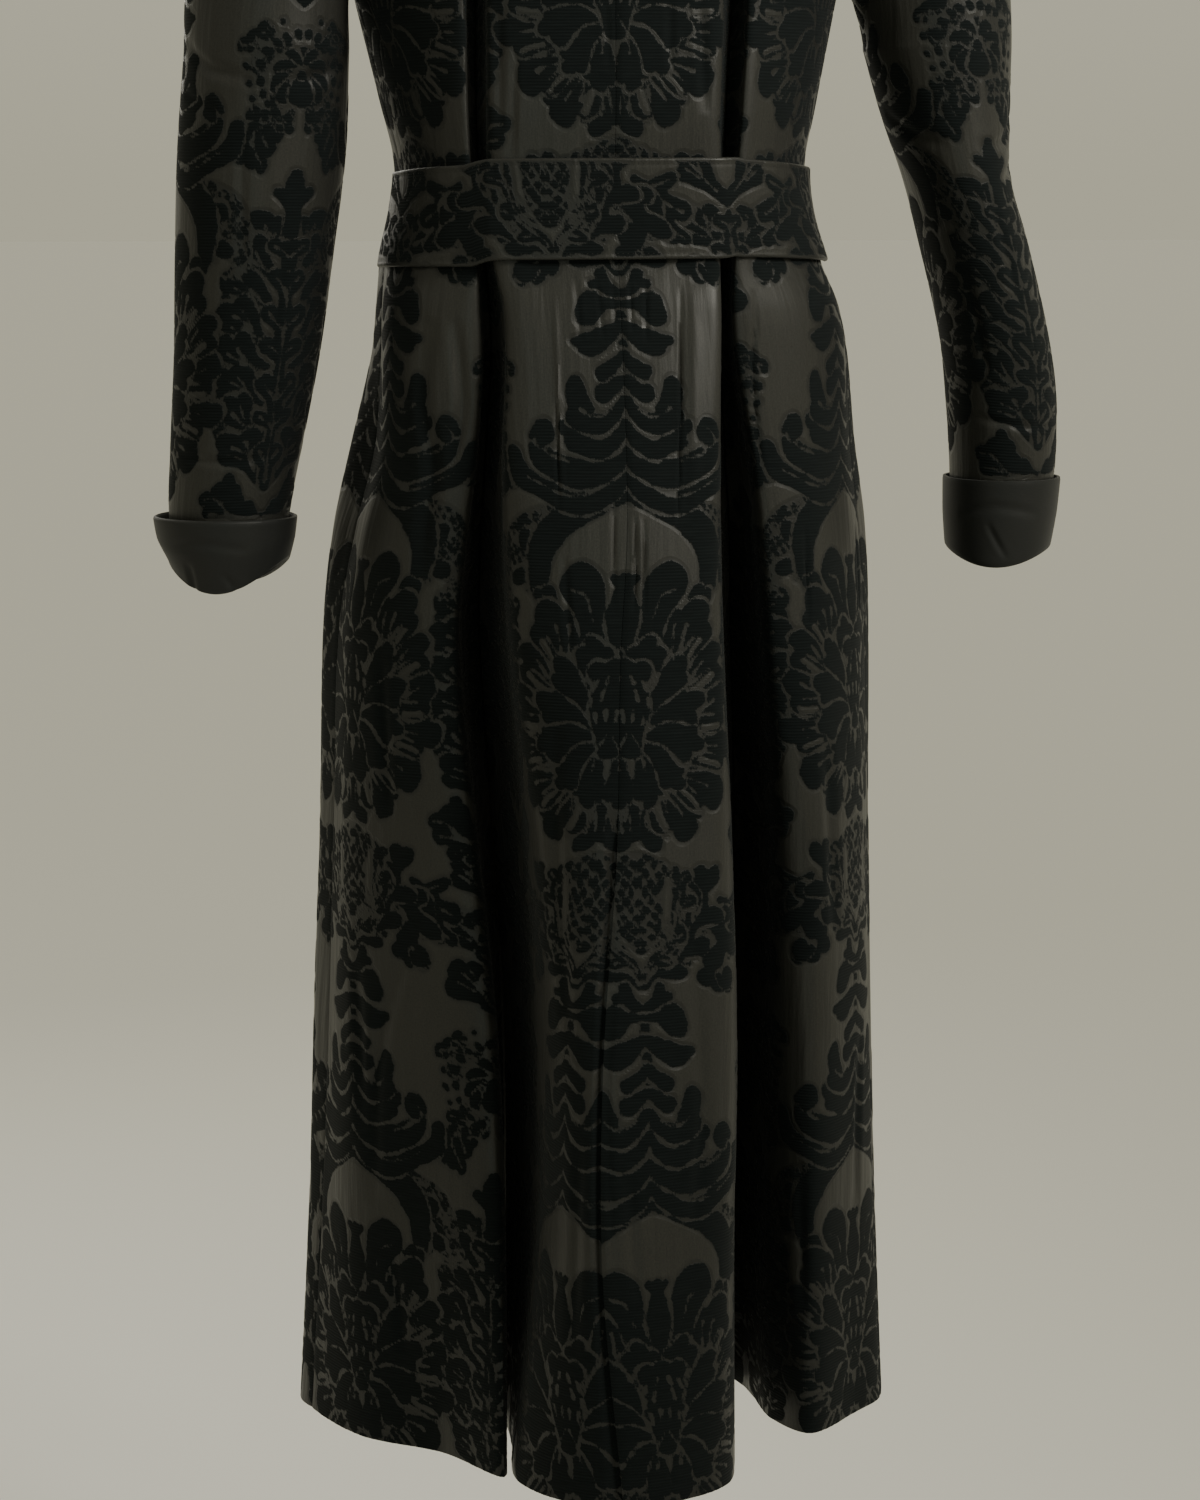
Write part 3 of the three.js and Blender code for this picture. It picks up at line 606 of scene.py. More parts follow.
def flower():
    """The large flower, from its outer petals to its seeds."""
    heart = np.array((6, 742))
    tips = np.array([(10, 814), (34, 806), (56, 784), (70, 754), (68, 720), (62, 690), (48, 664)])
    for tip, width in zip(tips, (15, 18, 19, 19, 18, 18, 17)):
        petal(heart, tip, width)
    for between in (tips[:-1] + tips[1:]) / 2:
        vein([mix(heart, between, 0.74), mix(heart, between, 0.86), mix(heart, between, 0.94)], 2.3)
    leaf(([(12, 690), (20, 662), (28, 644)], [8, 11, 13]))
    vein([(16, 668), (24, 650), (32, 646)], 0.8)
    leaf(([(0, 690), (0, 660), (0, 640)], [5, 7, 4]), ([(2, 646), (8, 640)], [4, 3]))
    for tip, width in (
        ((12, 786), 11), ((32, 774), 12), ((46, 750), 13), ((46, 722), 13), ((36, 698), 12), ((16, 684), 12),
    ):
        petal((3, 738), tip, width, veined=False)
    leaf(([(0, 752), (0, 730), (0, 702)], [8, 14, 10]), ([(0, 712), (13, 700)], [9, 6]))
    for place in ((4, 706), (11, 709), (5, 716), (12, 719), (3, 727), (10, 729)):
        vein([place, (place[0] + 0.6, place[1] + 5)], 1.3)
    vein([(2, 740), (8, 752), (7, 768)], 0.8)


def border():
    """Leaves and a rosette on the line where the pattern mirrors."""
    edge = REPEAT_HALF
    for z in (372, 410, 446):
        petal((edge + 2, z + 30), (edge - 26, z), 15)
    frond([(edge, 470), (edge, 440), (edge, 410)], 9, 3)
    frond([(edge, 508), (edge - 20, 510), (edge - 34, 498)], 11, 3)
    frond([(edge, 540), (edge - 24, 556), (edge - 34, 580)], 12, 4)
    ring = (edge, 524)
    for turn in range(0, 181, 36):
        a = np.radians(turn)
        tip = (ring[0] - 15 * np.sin(a), ring[1] - 15 * np.cos(a))
        leaf(([ring, tip], [4, 7]))
    dots([ring], 4)
    for reach, size, turns in ((29, 3.0, range(8, 176, 17)), (38, 2.4, range(20, 166, 15))):
        a = np.radians(turns)
        dots(zip(ring[0] - reach * np.sin(a), ring[1] - reach * np.cos(a)), size)
    for z, out in ((622, 22), (640, 34), (662, 40), (684, 42), (706, 42), (728, 40), (750, 36), (772, 30)):
        petal((edge + 2, z + 30), (edge - out, z), 16)
    frond([(edge, 804), (edge, 750), (edge, 690), (edge, 630)], 13, 7)
    frond([(edge, 830), (edge - 20, 826), (edge - 36, 808)], 12, 4)
    leaf(([(edge, 626), (edge, 606), (edge, 590)], [6, 8, 3]), ([(edge, 612), (edge - 12, 602)], [5, 4]))


for motif in (border, drapery, cone, arch, plant, flower):
    motif()
print("motifs drafted")

# %% [markdown]
# The figure at any place
#
# The cloth repeats the drafted half sideways, mirrored each time, and downwards. Nothing woven is
# perfectly straight, so slow waves push the figure a few millimetres to and fro.

# %% Read the figure at a place of the cloth
TURN = 2 * math.pi
WAVER = 2.4
SIDEWAYS_WAVES = (5, 9)
UPRIGHT_WAVES = (4, 8)


def figure_at(u, v, shift_u=0.0, shift_v=0.0):
    """Distance to the figure's edge at places of the cloth, in millimetres from the pattern's axis."""
    wide = 2 * REPEAT_HALF
    folded = np.mod(u + shift_u, wide)
    folded = np.where(folded > REPEAT_HALF, wide - folded, folded)
    v = v + shift_v
    side, along = np.pi * folded / REPEAT_HALF, TURN * v / REPEAT_HIGH
    waved = folded + WAVER * np.sin(SIDEWAYS_WAVES[0] * side) * np.sin(SIDEWAYS_WAVES[1] * along)
    column = (np.clip(waved, across[0], REPEAT_HALF) - across[0]) / RASTER
    v = v + WAVER * np.cos(UPRIGHT_WAVES[0] * side) * np.sin(UPRIGHT_WAVES[1] * along + 1)
    row = np.mod(v, REPEAT_HIGH) / RASTER
    i, j = row.astype(int) % len(down), np.clip(column.astype(int), 0, len(across) - 2)
    below = (i + 1) % len(down)
    s, t = row - np.floor(row), column - j
    return mix(mix(field[i, j], field[i, j + 1], t), mix(field[below, j], field[below, j + 1], t), s)


print("figure covers", round(float((field < 0).mean()), 2), "of the cloth")

# %% [markdown]
# Cloth as a thin closed shell
#
# Each sewn piece is one closed skin: a fine outer face that carries the creases and the raised figure,
# a coarse plain inner face, and a rim that joins them. A Solidify modifier would do the same with as
# many faces inside as outside. Writing the mesh here saves them, and keeps the cloth's own coordinates,
# which the weave and the pattern follow as UVs and as an attribute.

# %% Make a shell from a grid of places
STRIDE = 4
CLOTH = 2.0
RELIEF = 0.3
RELIEF_EDGE = 1.6
SHARP_ANGLE = math.radians(50)


def grid_normals(grid, ring):
    """Outward directions on a grid whose rows go down and whose columns go on round the coat."""
    if ring:
        side = np.roll(grid, -1, 1) - np.roll(grid, 1, 1)
    else:
        side = np.gradient(grid, axis=1)
    normal = np.cross(side, -np.gradient(grid, axis=0))
    length = np.linalg.norm(normal, axis=-1, keepdims=True)
    return normal / np.maximum(length, 1e-9)


def raised(figure):
    """How far the figure stands out of the ground."""
    return RELIEF * ease(0.5 - figure / RELIEF_EDGE)


def run_along(points, axis=0):
    """Length from the first point of a grid to each of the others, along an axis."""
    step = np.linalg.norm(np.diff(points, axis=axis), axis=-1)
    return np.concatenate([0 * step.take([0], axis), np.cumsum(step, axis)], axis)


def shell(name, grid, lift, under, u, v, figure, keep=None, ring=False):
    """A closed mesh on a grid in millimetres: a fine face lifted off it and a coarse one under that."""
    normal = grid_normals(grid, ring)
    outer = grid + normal * (lift + raised(figure))[..., None]
    inner = (grid + normal * under[..., None])[::STRIDE, ::STRIDE]
    cloth = np.stack([u, -v], -1)
    rows, columns = outer.shape[:2]
    low_rows, low_columns = inner.shape[:2]
    cells_down, cells_round = (rows - 1) // STRIDE, (columns if ring else columns - 1) // STRIDE
    keep = np.ones((cells_down, cells_round), bool) if keep is None else keep
    outer_at = np.arange(rows * columns).reshape(rows, columns)
    inner_at = rows * columns + np.arange(low_rows * low_columns).reshape(low_rows, low_columns)
    if ring:
        outer_at, inner_at = np.hstack([outer_at, outer_at[:, :1]]), np.hstack([inner_at, inner_at[:, :1]])
    fine = np.repeat(np.repeat(keep, STRIDE, 0), STRIDE, 1)
    quads = np.stack([outer_at[:-1, :-1], outer_at[1:, :-1], outer_at[1:, 1:], outer_at[:-1, 1:]], -1)[fine]
    back = np.stack([inner_at[:-1, :-1], inner_at[:-1, 1:], inner_at[1:, 1:], inner_at[1:, :-1]], -1)[keep]
    rim = []
    for i, j in zip(*np.nonzero(keep)):
        a, b, c, d = i * STRIDE, (i + 1) * STRIDE, j * STRIDE, (j + 1) * STRIDE
        left = (ring or j > 0) and keep[i, j - 1]
        right = (ring or j + 1 < cells_round) and keep[i, (j + 1) % cells_round]
        if i == 0 or not keep[i - 1, j]:
            rim.append([*outer_at[a, c:d + 1], inner_at[i, j + 1], inner_at[i, j]])
        if i + 1 == cells_down or not keep[i + 1, j]:
            rim.append([*outer_at[b, c:d + 1][::-1], inner_at[i + 1, j], inner_at[i + 1, j + 1]])
        if not left:
            rim.append([*outer_at[a:b + 1, c][::-1], inner_at[i, j], inner_at[i + 1, j]])
        if not right:
            rim.append([*outer_at[a:b + 1, d], inner_at[i + 1, j + 1], inner_at[i, j + 1]])
    corners = np.concatenate([quads.ravel(), back.ravel(), np.array(rim, int).ravel()])
    sizes = np.array([4] * (len(quads) + len(back)) + [STRIDE + 3] * len(rim))
    used, corners = np.unique(corners, return_inverse=True)
    points = np.concatenate([outer.reshape(-1, 3), inner.reshape(-1, 3)])[used] * MM
    coarse = cloth[::STRIDE, ::STRIDE].reshape(-1, 2)
    places = np.concatenate([cloth.reshape(-1, 2), coarse])[used] * MM
    values = np.concatenate([figure.ravel(), np.full(len(coarse), FAR)])[used]
    return mesh_piece(name, points, corners, sizes, places, values), outer, normal


def mesh_piece(name, points, corners, sizes, places, values):
    """A mesh object from points, the corners of its faces, its cloth coordinates and its figure."""
    mesh = bpy.data.meshes.new(name)
    mesh.vertices.add(len(points))
    mesh.vertices.foreach_set("co", points.astype(np.float32).ravel())
    mesh.loops.add(len(corners))
    mesh.loops.foreach_set("vertex_index", corners.astype(np.int32).ravel())
    mesh.polygons.add(len(sizes))
    starts = np.concatenate([[0], np.cumsum(sizes)[:-1]])
    mesh.polygons.foreach_set("loop_start", starts.astype(np.int32))
    mesh.update(calc_edges=True)
    uv = mesh.uv_layers.new(name="cloth")
    uv.data.foreach_set("uv", places[corners.ravel()].astype(np.float32).ravel())
    figure = mesh.attributes.new("figure", "FLOAT", "POINT")
    figure.data.foreach_set("value", values.astype(np.float32))
    mesh.shade_smooth()
    mesh.set_sharp_from_angle(angle=SHARP_ANGLE)
    piece = bpy.data.objects.new(name, mesh)
    bpy.context.scene.collection.objects.link(piece)
    print(name, len(points), "points,", int((sizes - 2).sum()), "triangles")
    return piece


# %% [markdown]
# Creases placed one by one
#
# Heavy cloth falls in a few soft, uneven troughs. Each one is a short line drawn on the cloth,
# with its own width and depth. The cloth sinks along the line and swells a little beside it, and the
# trough runs out softly at both ends. A cloth simulation would bring folds of its own, in other places
# than the real ones.

# %% Sink the cloth along a line
CREASE_REACH = 3.4
CREASE_STEP = 12.0
CREASE_ENDS = 0.6
CREASE_SWELL = 0.9


def distance_along(u, v, line):
    """Distance of cloth places to a line of places, and how far along the line they lie."""
    best, along = np.full(u.shape, 1e9), np.zeros(u.shape)
    run = np.concatenate([[0], np.cumsum(np.hypot(*np.diff(line, axis=0).T))])
    for a, b, start, end in zip(line, line[1:], run, run[1:]):
        way = b - a
        t = np.clip(((u - a[0]) * way[0] + (v - a[1]) * way[1]) / (way @ way), 0, 1)
        gap = np.hypot(u - a[0] - t * way[0], v - a[1] - t * way[1])
        closer = gap < best
        best, along = np.where(closer, gap, best), np.where(closer, start + t * (end - start), along)
    return best, along / run[-1]


def creased(u, v, creases):
    """How far the creases move the cloth outwards, in millimetres."""
    move = np.zeros(u.shape)
    for width, depth, line in creases:
        line = smooth(line, [0], CREASE_STEP)[:, :2]
        low, high = line.min(0) - CREASE_REACH * width, line.max(0) + CREASE_REACH * width
        rows, columns = np.nonzero((u > low[0]) & (u < high[0]) & (v > low[1]) & (v < high[1]))
        gap, along = distance_along(u[rows, columns], v[rows, columns], line)
        square = (gap / width) ** 2
        swell = 1 - CREASE_SWELL * square
        move[rows, columns] -= depth * np.sin(np.pi * along) ** CREASE_ENDS * swell * np.exp(-square)
    return move


print("creases ready")

# %% [markdown]
# Panels of the trunk
#
# A panel runs between two seams. Its rows keep to the draft's heights, closer together round the
# armhole, and its columns divide the cloth's width evenly, so that all cells are nearly alike. The four
# counts of rows are for the shoulder, the armhole, the waist and the skirt below the vent's top. At a
# seam the cloth rolls in a little, which draws the seam as a fine groove.

# %% Rows and columns of the panels
SEAM_GAP = 0.3
ROLL_DEPTH = 0.8
ROLL_WIDTH = 2.2
FINE_ROWS = (24, 96, 368, 268)
PLAIN_ROWS = (16, 56, 148, 108)
ARC_SAMPLES = 260
ARM_CROWDING = 0.75


def panel_rows(counts):
    """Heights from the neck to the hem, closer together at the armhole's two ends."""
    neck, arm, waist, skirt = counts
    t = np.arange(1, arm + 1) / arm
    turned = mix(t, (1 - np.cos(np.pi * t)) / 2, ARM_CROWDING)
    return np.concatenate([
        np.linspace(0, SHOULDER, neck + 1), mix(SHOULDER, UNDERARM, turned),
        np.linspace(UNDERARM, VENT_TOP, waist + 1)[1:], np.linspace(VENT_TOP, HEM, skirt + 1)[1:],
    ])


def armhole_half(row):
    """How far the armhole opens from the side seam, in places."""
    t = np.clip((row - UNDERARM) / (SHOULDER - UNDERARM), 0, 1)
    return ARMHOLE_HALF_WIDTH * np.sqrt(1 - (2 * t - 1) ** 2)


def places_for(length, place, row):
    """How many places make a length across a seam."""
    step = 0.05
    span = coat_face.point(place + step, row) - coat_face.point(place - step, row)
    return length * 2 * step / np.linalg.norm(span, axis=-1)


def seam_bound(place, row, way):
    """Where a panel stops short of a seam, or of the armhole that is cut into it."""
    side = place in (SIDE_SEAM, ROUND - SIDE_SEAM)
    return place + way * ((armhole_half(row) if side else 0) + places_for(SEAM_GAP / 2, place, row))


def arc_from(place, to, row):
    """Length of cloth from one place to others at each row."""
    t = np.linspace(0, 1, ARC_SAMPLES)[None]
    samples = place[:, None] + (to - place)[:, None] * t
    return samples, run_along(coat_face.point(samples, row[:, None]), 1)


def columns_of(bounds, counts, row):
    """Places of the columns: each span is divided evenly, and above the pleats the whole width is."""
    places, arcs = bounds[0][:, None], np.zeros((len(row), 1))
    spanned = arcs
    for start, stop, count in zip(bounds, bounds[1:], counts):
        samples, arc = arc_from(start, stop, row)
        end = arcs[:, -1:]
        spanned = np.hstack([spanned, end + arc[:, -1:] * (np.arange(1, count + 1) / count)])
        places, arcs = np.hstack([places, samples[:, 1:]]), np.hstack([arcs, end + arc[:, 1:]])
    even = arcs[:, -1:] * np.linspace(0, 1, spanned.shape[1])
    wanted = mix(even, spanned, ease((PLEAT_START - row) / (PLEAT_START - PHOTO_TOP))[:, None])
    return np.array([np.interp(w, a, p) for w, a, p in zip(wanted, arcs, places)]), wanted


print("rows of a back panel:", len(panel_rows(FINE_ROWS)))

# %% Build a panel
LAP_LEAST = 0.02
LAP_START = 50
FLARE = table("z shift", (-1262, 35), (-1100, 38), (-960, 30), (-832, 14), (-700, 3), (-600, 0))


def panel(name, seams, counts, rows, axis, lap=None, flare=0):
    """A panel through its seams and folds, from left to right round the coat. A flared one was cut
    wider towards the hem, so its pattern moves away from the axis there."""
    row = panel_rows(rows)
    folds = [np.full(len(row), float(place)) for place in seams[1:-1]]
    bounds = [seam_bound(seams[0], row, 1), *folds, seam_bound(seams[-1], row, -1)]
    keep = None
    if lap:
        bounds, counts, keep = add_lap(bounds, counts, row, lap)
    place, arc = columns_of(bounds, counts, row)
    grid = coat_face.point(place, row[:, None])
    u = arc + axis_offset(bounds[0], axis, row)[:, None]
    v = np.broadcast_to(-row[:, None], u.shape)
    edge = np.minimum(arc, arc[:, -1:] - arc)
    roll = -ROLL_DEPTH * np.exp(-((edge / ROLL_WIDTH) ** 2))
    creases = CREASES[name.removeprefix("coat_")]
    crease_lines = [(width, depth, cloth_line(line, axis)) for width, depth, line in creases]
    move = roll + creased(u, v, crease_lines) - (sunk(place, row[:, None], lap) if lap else 0)
    flared = flare * np.interp(row, FLARE["z"], FLARE["shift"])[:, None]
    return shell(name, grid, move, move - CLOTH, u, v, figure_at(u - flared, v), keep)[0]


def axis_offset(start, axis, row):
    """Signed length of cloth from the pattern's axis to a panel's first column."""
    arc = arc_from(np.full(len(row), float(axis)), start, row)[1][:, -1]
    return np.where(start > axis, arc, -arc)


def cloth_line(line, axis):
    """A line drawn in places and heights, in millimetres of cloth."""
    place, row = np.array(line, float).T
    place = np.where(place < 0, place + ROUND, place)
    return np.stack([axis_offset(place, axis, row), -row], -1)


def add_lap(bounds, counts, row, lap):
    """Carry a panel on past a seam. Above its first row the lap is left out."""
    reach = np.full(len(row), lap["seam"] + lap["reach"])
    if lap["reach"] > 0:
        bounds = [*bounds, np.maximum(reach, bounds[-1] + LAP_LEAST)]
        counts = [*counts, lap["columns"]]
    else:
        bounds = [np.minimum(reach, bounds[0] - LAP_LEAST), *bounds]
        counts = [lap["columns"], *counts]
    keep = np.ones(((len(row) - 1) // STRIDE, sum(counts) // STRIDE), bool)
    if "top" in lap:
        above = row[:-1:STRIDE] > lap["top"] + TINY
        cells = lap["columns"] // STRIDE
        keep[above, slice(-cells, None) if lap["reach"] > 0 else slice(0, cells)] = False
    return bounds, counts, keep


def sunk(place, row, lap):
    """How deep an under lap lies below the edge that covers it."""
    if "sunk_at" not in lap:
        return 0
    started = ease((lap["top"] + LAP_START - row) / LAP_START) if "top" in lap else 1
    past = (place - lap["seam"]) * np.sign(lap["reach"])
    return LAP_STEP * started * ease((past - lap["sunk_at"] + LAP_RAMP) / LAP_RAMP_LONG)


# %% Place the creases
CREASES = {
    "back_left": [
        (2, -1.3, [(-1.02, -455), (-1.03, -516), (-0.98, -590)]), (1.6, 1.1, [(-1.1, -520), (-1.05, -600)]),
        (2, 1.1, [(-0.64, -444), (-0.66, -486)]), (1.8, 1.1, [(-0.34, -444), (-0.3, -484)]),
        (1.8, 1.0, [(-0.1, -444), (-0.1, -476)]), (1.7, 1.3, [(-0.22, -584), (-0.18, -660)]),
        (3.5, 1.4, [(-0.98, -626), (-0.9, -690)]), (5, 1.8, [(-1.78, -262), (-1.74, -350)]),
        (4, 1.4, [(-1.5, -296), (-1.54, -368)]), (2.5, 0.9, [(-0.14, -262), (-0.1, -310)]),
        (9, 2.6, [(-1.3, -730), (-1.5, -830), (-1.2, -950)]), (8, 2.2, [(-0.7, -1010), (-0.9, -1160)]),
    ],
    "back_right": [
        (1.5, 1.9, [(1.1, -448), (1.06, -524), (0.98, -606)]), (7, -1.2, [(1.34, -452), (1.3, -600)]),
        (1.8, 1.1, [(0.18, -444), (0.18, -480)]), (2, 1.2, [(0.46, -444), (0.42, -486)]),
        (1.6, 1.5, [(0.14, -596), (0.2, -662)]), (1.7, 1.5, [(0.3, -600), (0.38, -664)]),
        (3, -0.8, [(0.25, -600), (0.3, -660)]),
        (5, 1.8, [(1.46, -262), (1.62, -336)]), (4, 1.4, [(0.9, -262), (0.92, -306)]),
        (5, 1.8, [(0.42, -1036), (0.5, -1124)]), (7, 2, [(1.3, -880), (1.42, -1000), (1.3, -1080)]),
        (3, 1.2, [(0.12, -890), (0.1, -984), (0.2, -1100)]),
    ],
    "side_back_left": [
        (8, 3.4, [(-9.02, -470), (-9.06, -526), (-8.78, -572), (-8.7, -650)]),
        (6, 2.4, [(-8.54, -470), (-8.38, -526), (-8.5, -572)]), (6, 2, [(-9.46, -1124), (-9.4, -1196)]),
        (8, 2.6, [(-9.9, -920), (-9.82, -1044)]), (9, 2.8, [(-8.82, -884), (-9.5, -972), (-9.7, -1090)]),
        (5, 1.6, [(-8.2, -640), (-8.1, -700)]), (7, 2.2, [(-9.3, -700), (-9.2, -820)]),
    ],
    "side_back_right": [
        (2.4, 2.0, [(8.42, -452), (8.3, -506), (8.14, -570)]), (2.2, 1.6, [(8.86, -612), (8.86, -680)]),
        (5, 1.8, [(10.6, -616), (10.4, -684)]), (8, 2.4, [(9.2, -760), (9.4, -900)]),
        (7, 2, [(10.2, -980), (10.1, -1110)]), (6, 1.8, [(8.7, -1060), (8.8, -1180)]),
    ],
    "front_right": [
        (15, 4, [(12.2, -450), (12.4, -640), (12.3, -860)]), (13, 3, [(13.7, -500), (13.8, -700)]),
        (18, 5, [(13.3, -840), (13.2, -1190)]),
    ],
    "front_left": [
        (14, 4, [(-12.4, -440), (-12.3, -620), (-12.5, -800)]), (17, 5, [(-13.4, -700), (-13.2, -1120)]),
        (12, 3, [(-14.2, -460), (-14.1, -600)]),
    ],
    "sleeve_left": [
        (6, 2.2, [(-74, 286), (-40, 306), (-8, 312)]), (5, 1.8, [(-70, 322), (-34, 334)]),
        (7, 2.2, [(72, 292), (40, 310), (14, 314)]), (5, 1.4, [(-14, 352), (-8, 440)]),
        (5, 1.4, [(22, 420), (16, 520)]), (4, 1.6, [(-56, 566), (-10, 574), (30, 570)]),
    ],
    "sleeve_right": [
        (6, 2.2, [(74, 330), (40, 352), (8, 358)]), (5, 1.8, [(68, 366), (30, 380)]),
        (7, 2.2, [(-72, 336), (-38, 352), (-12, 356)]), (5, 1.4, [(10, 392), (12, 470)]),
        (5, 1.4, [(-24, 440), (-20, 520)]), (4, 1.6, [(56, 552), (8, 558), (-34, 552)]),
    ],
    "cuff_left": [
        (4, 1.8, [(50, 30), (45, 54)]), (4, 1.4, [(74, 36), (80, 54)]),
        (4, 1, [(24, 22), (60, 15), (96, 20)]),
    ],
    "cuff_right": [
        (3, 1.4, [(196, 30), (202, 56)]), (4, 1, [(170, 26), (204, 18), (236, 24)]),
    ],
}
print("creases:", sum(len(lines) for lines in CREASES.values()))

# %% Cut and place the trunk's panels
BACK_AXIS = 0
SIDE_AXIS = 10
RIM = 8
EDGE = 2
LAP_COLUMNS = 12
over_lap = dict(seam=CENTRE_FRONT, reach=FRONT_LAP, columns=LAP_COLUMNS)
under_lap = dict(seam=CENTRE_FRONT, reach=-FRONT_LAP, columns=LAP_COLUMNS, sunk_at=UNDER_LAP_PLACE)
vent_lap = dict(seam=ROUND, reach=VENT_LAP, columns=LAP_COLUMNS, top=VENT_TOP, sunk_at=0)
trunk = [
    panel("coat_back_right", (0, EDGE, PLEAT_SEAM), (48, 32), FINE_ROWS, BACK_AXIS, flare=1),
    panel("coat_side_back_right", (PLEAT_SEAM, RIM, SIDE_SEAM), (24, 72), FINE_ROWS, SIDE_AXIS),
    panel("coat_front_right", (SIDE_SEAM, CENTRE_FRONT), (84,), PLAIN_ROWS, CENTRE_FRONT, over_lap),
    panel("coat_front_left", (CENTRE_FRONT, ROUND - SIDE_SEAM), (84,), PLAIN_ROWS, CENTRE_FRONT,
          under_lap),
    panel("coat_side_back_left", (ROUND - SIDE_SEAM, ROUND - RIM, ROUND - PLEAT_SEAM), (72, 24),
          FINE_ROWS, ROUND - SIDE_AXIS),
    panel("coat_back_left", (ROUND - PLEAT_SEAM, ROUND - EDGE, ROUND), (32, 48), FINE_ROWS, ROUND,
          vent_lap, flare=-1),
]

# %% [markdown]
# Sleeves
#
# A sleeve is a tube that starts at the armhole's edge and hangs from there in level rings. The part
# over the shoulder bends from the armhole into the hanging tube along smooth curves, so the sleeve head
# has no corner. Each pair of numbers for that bend is for the underarm and for the shoulder. The
# pattern's axis runs down the sleeve's back. Under the cuff the sleeve stays plain, because nothing of
# it shows there.

# %% Build the sleeves
SLEEVE_HEAD = -290
SLEEVE_ROUND = 184
HEAD_ROWS = 80
DRAPE_ROWS = 184
ARMHOLE_EASE = 0.7
CUFF_FOLD = 5
COVERED = 12
HEAD_SLOPE = (-0.25, -0.3)
HEAD_OUT = (5, 52)
HEAD_RISE = (14, 128)
DRAPES = {"left": SLEEVE_LEFT, "right": SLEEVE_RIGHT}
SLEEVE_SHIFT = {"left": (93, 213), "right": (100, 234)}


def turns_round(side):
    """Turns round the arm, signed so that the rings of both sleeves wind the same way."""
    return -side * TURN * np.arange(SLEEVE_ROUND) / SLEEVE_ROUND


def ring_point(drape, side, turn, z, grow=0.0):
    """A place of the hanging sleeve, by its turn round the arm and its height."""
    outer, inner = read(drape, "outer", z), read(drape, "inner", z)
    x = (outer + inner) / 2 + ((outer - inner) / 2 + grow) * np.cos(turn)
    y = read(drape, "midY", z) - (read(drape, "halfY", z) + grow) * np.sin(turn)
    return np.stack([side * x, y, z + 0 * x], -1)


def cuff_bottom(cuff, turn):
    return cuff["bottom"] + cuff["rise"] * np.cos(turn + cuff["turn"]) ** 2


def armhole_point(side, turn):
    """The armhole's edge as a ring, drawn in a little to clear the panels."""
    row = mix(UNDERARM, SHOULDER, (1 + np.cos(turn)) / 2)
    base = SIDE_SEAM if side > 0 else ROUND - SIDE_SEAM
    edge = coat_face.point(base - side * ARMHOLE_HALF_WIDTH * np.sin(turn), row)
    inward = coat_face.point(base, (SHOULDER + UNDERARM) / 2) - edge
    inward[:, 0] = 0
    return edge + inward / np.linalg.norm(inward, axis=-1, keepdims=True) * ARMHOLE_EASE


def sleeve(hand, side):
    """A sleeve from the armhole to its end inside the cuff."""
    drape, size = DRAPES[hand], CUFFS[hand]
    turn = turns_round(side)
    start, end = armhole_point(side, turn), ring_point(drape, side, turn, float(SLEEVE_HEAD))
    height = (1 + np.cos(turn)) / 2
    out = np.stack([np.full(len(turn), float(side)), 0 * turn, mix(*HEAD_SLOPE, height)], -1)
    out /= np.linalg.norm(out, axis=-1, keepdims=True)
    leave = start + out * mix(*HEAD_OUT, height)[:, None]
    arrive = end + np.stack([0 * turn, 0 * turn, mix(*HEAD_RISE, height)], -1)
    t = np.linspace(0, 1, HEAD_ROWS + 1)[:, None, None]
    head = start * (1 - t) ** 3 + 3 * leave * t * (1 - t) ** 2 + 3 * arrive * t**2 * (1 - t) + end * t**3
    low = cuff_bottom(size, turn) + CUFF_FOLD
    z = mix(SLEEVE_HEAD, low[None], np.linspace(0, 1, DRAPE_ROWS + 1)[1:, None])
    grid = np.concatenate([head, ring_point(drape, side, np.broadcast_to(turn, z.shape), z)])
    v = run_along(grid)
    v = v - v[HEAD_ROWS] - SLEEVE_HEAD
    step = np.linalg.norm(grid - np.roll(grid, 1, 1), axis=-1)
    run = np.cumsum(step, 1) - step[:, :1]
    back = SLEEVE_ROUND * (3 if side > 0 else 1) // 4
    u = run - run[:, back:back + 1]
    bare = ease((grid[..., 2] - size["top"] + COVERED / 2) / COVERED)
    figure = mix(FAR, figure_at(u, v, *SLEEVE_SHIFT[hand]), bare)
    roll = -ROLL_DEPTH * np.exp(-(((v - v[:1]) / ROLL_WIDTH) ** 2))
    move = roll + creased(u, v, CREASES["sleeve_" + hand]) * bare
    return shell("coat_sleeve_" + hand, grid, move, move - CLOTH, u, v, figure, ring=True)[0]


sleeves = [sleeve("right", 1), sleeve("left", -1)]

# %% [markdown]
# Cuffs
#
# A turned-back cuff is a separate band of plain satin, folded at the sleeve's end and standing a little
# off the sleeve at its top edge. Its section is a thin closed loop, carried round the sleeve: down the
# outer face, round the fold and up the inner one. The small numbers in it round its corners.

# %% Build the cuffs
CUFF_CLOTH = 3
CUFF_EASE = 0.8
CUFF_SAMPLES = 56
CUFF_CURVE = 0.55
CUFF_MIDDLE_FLARE = 0.7


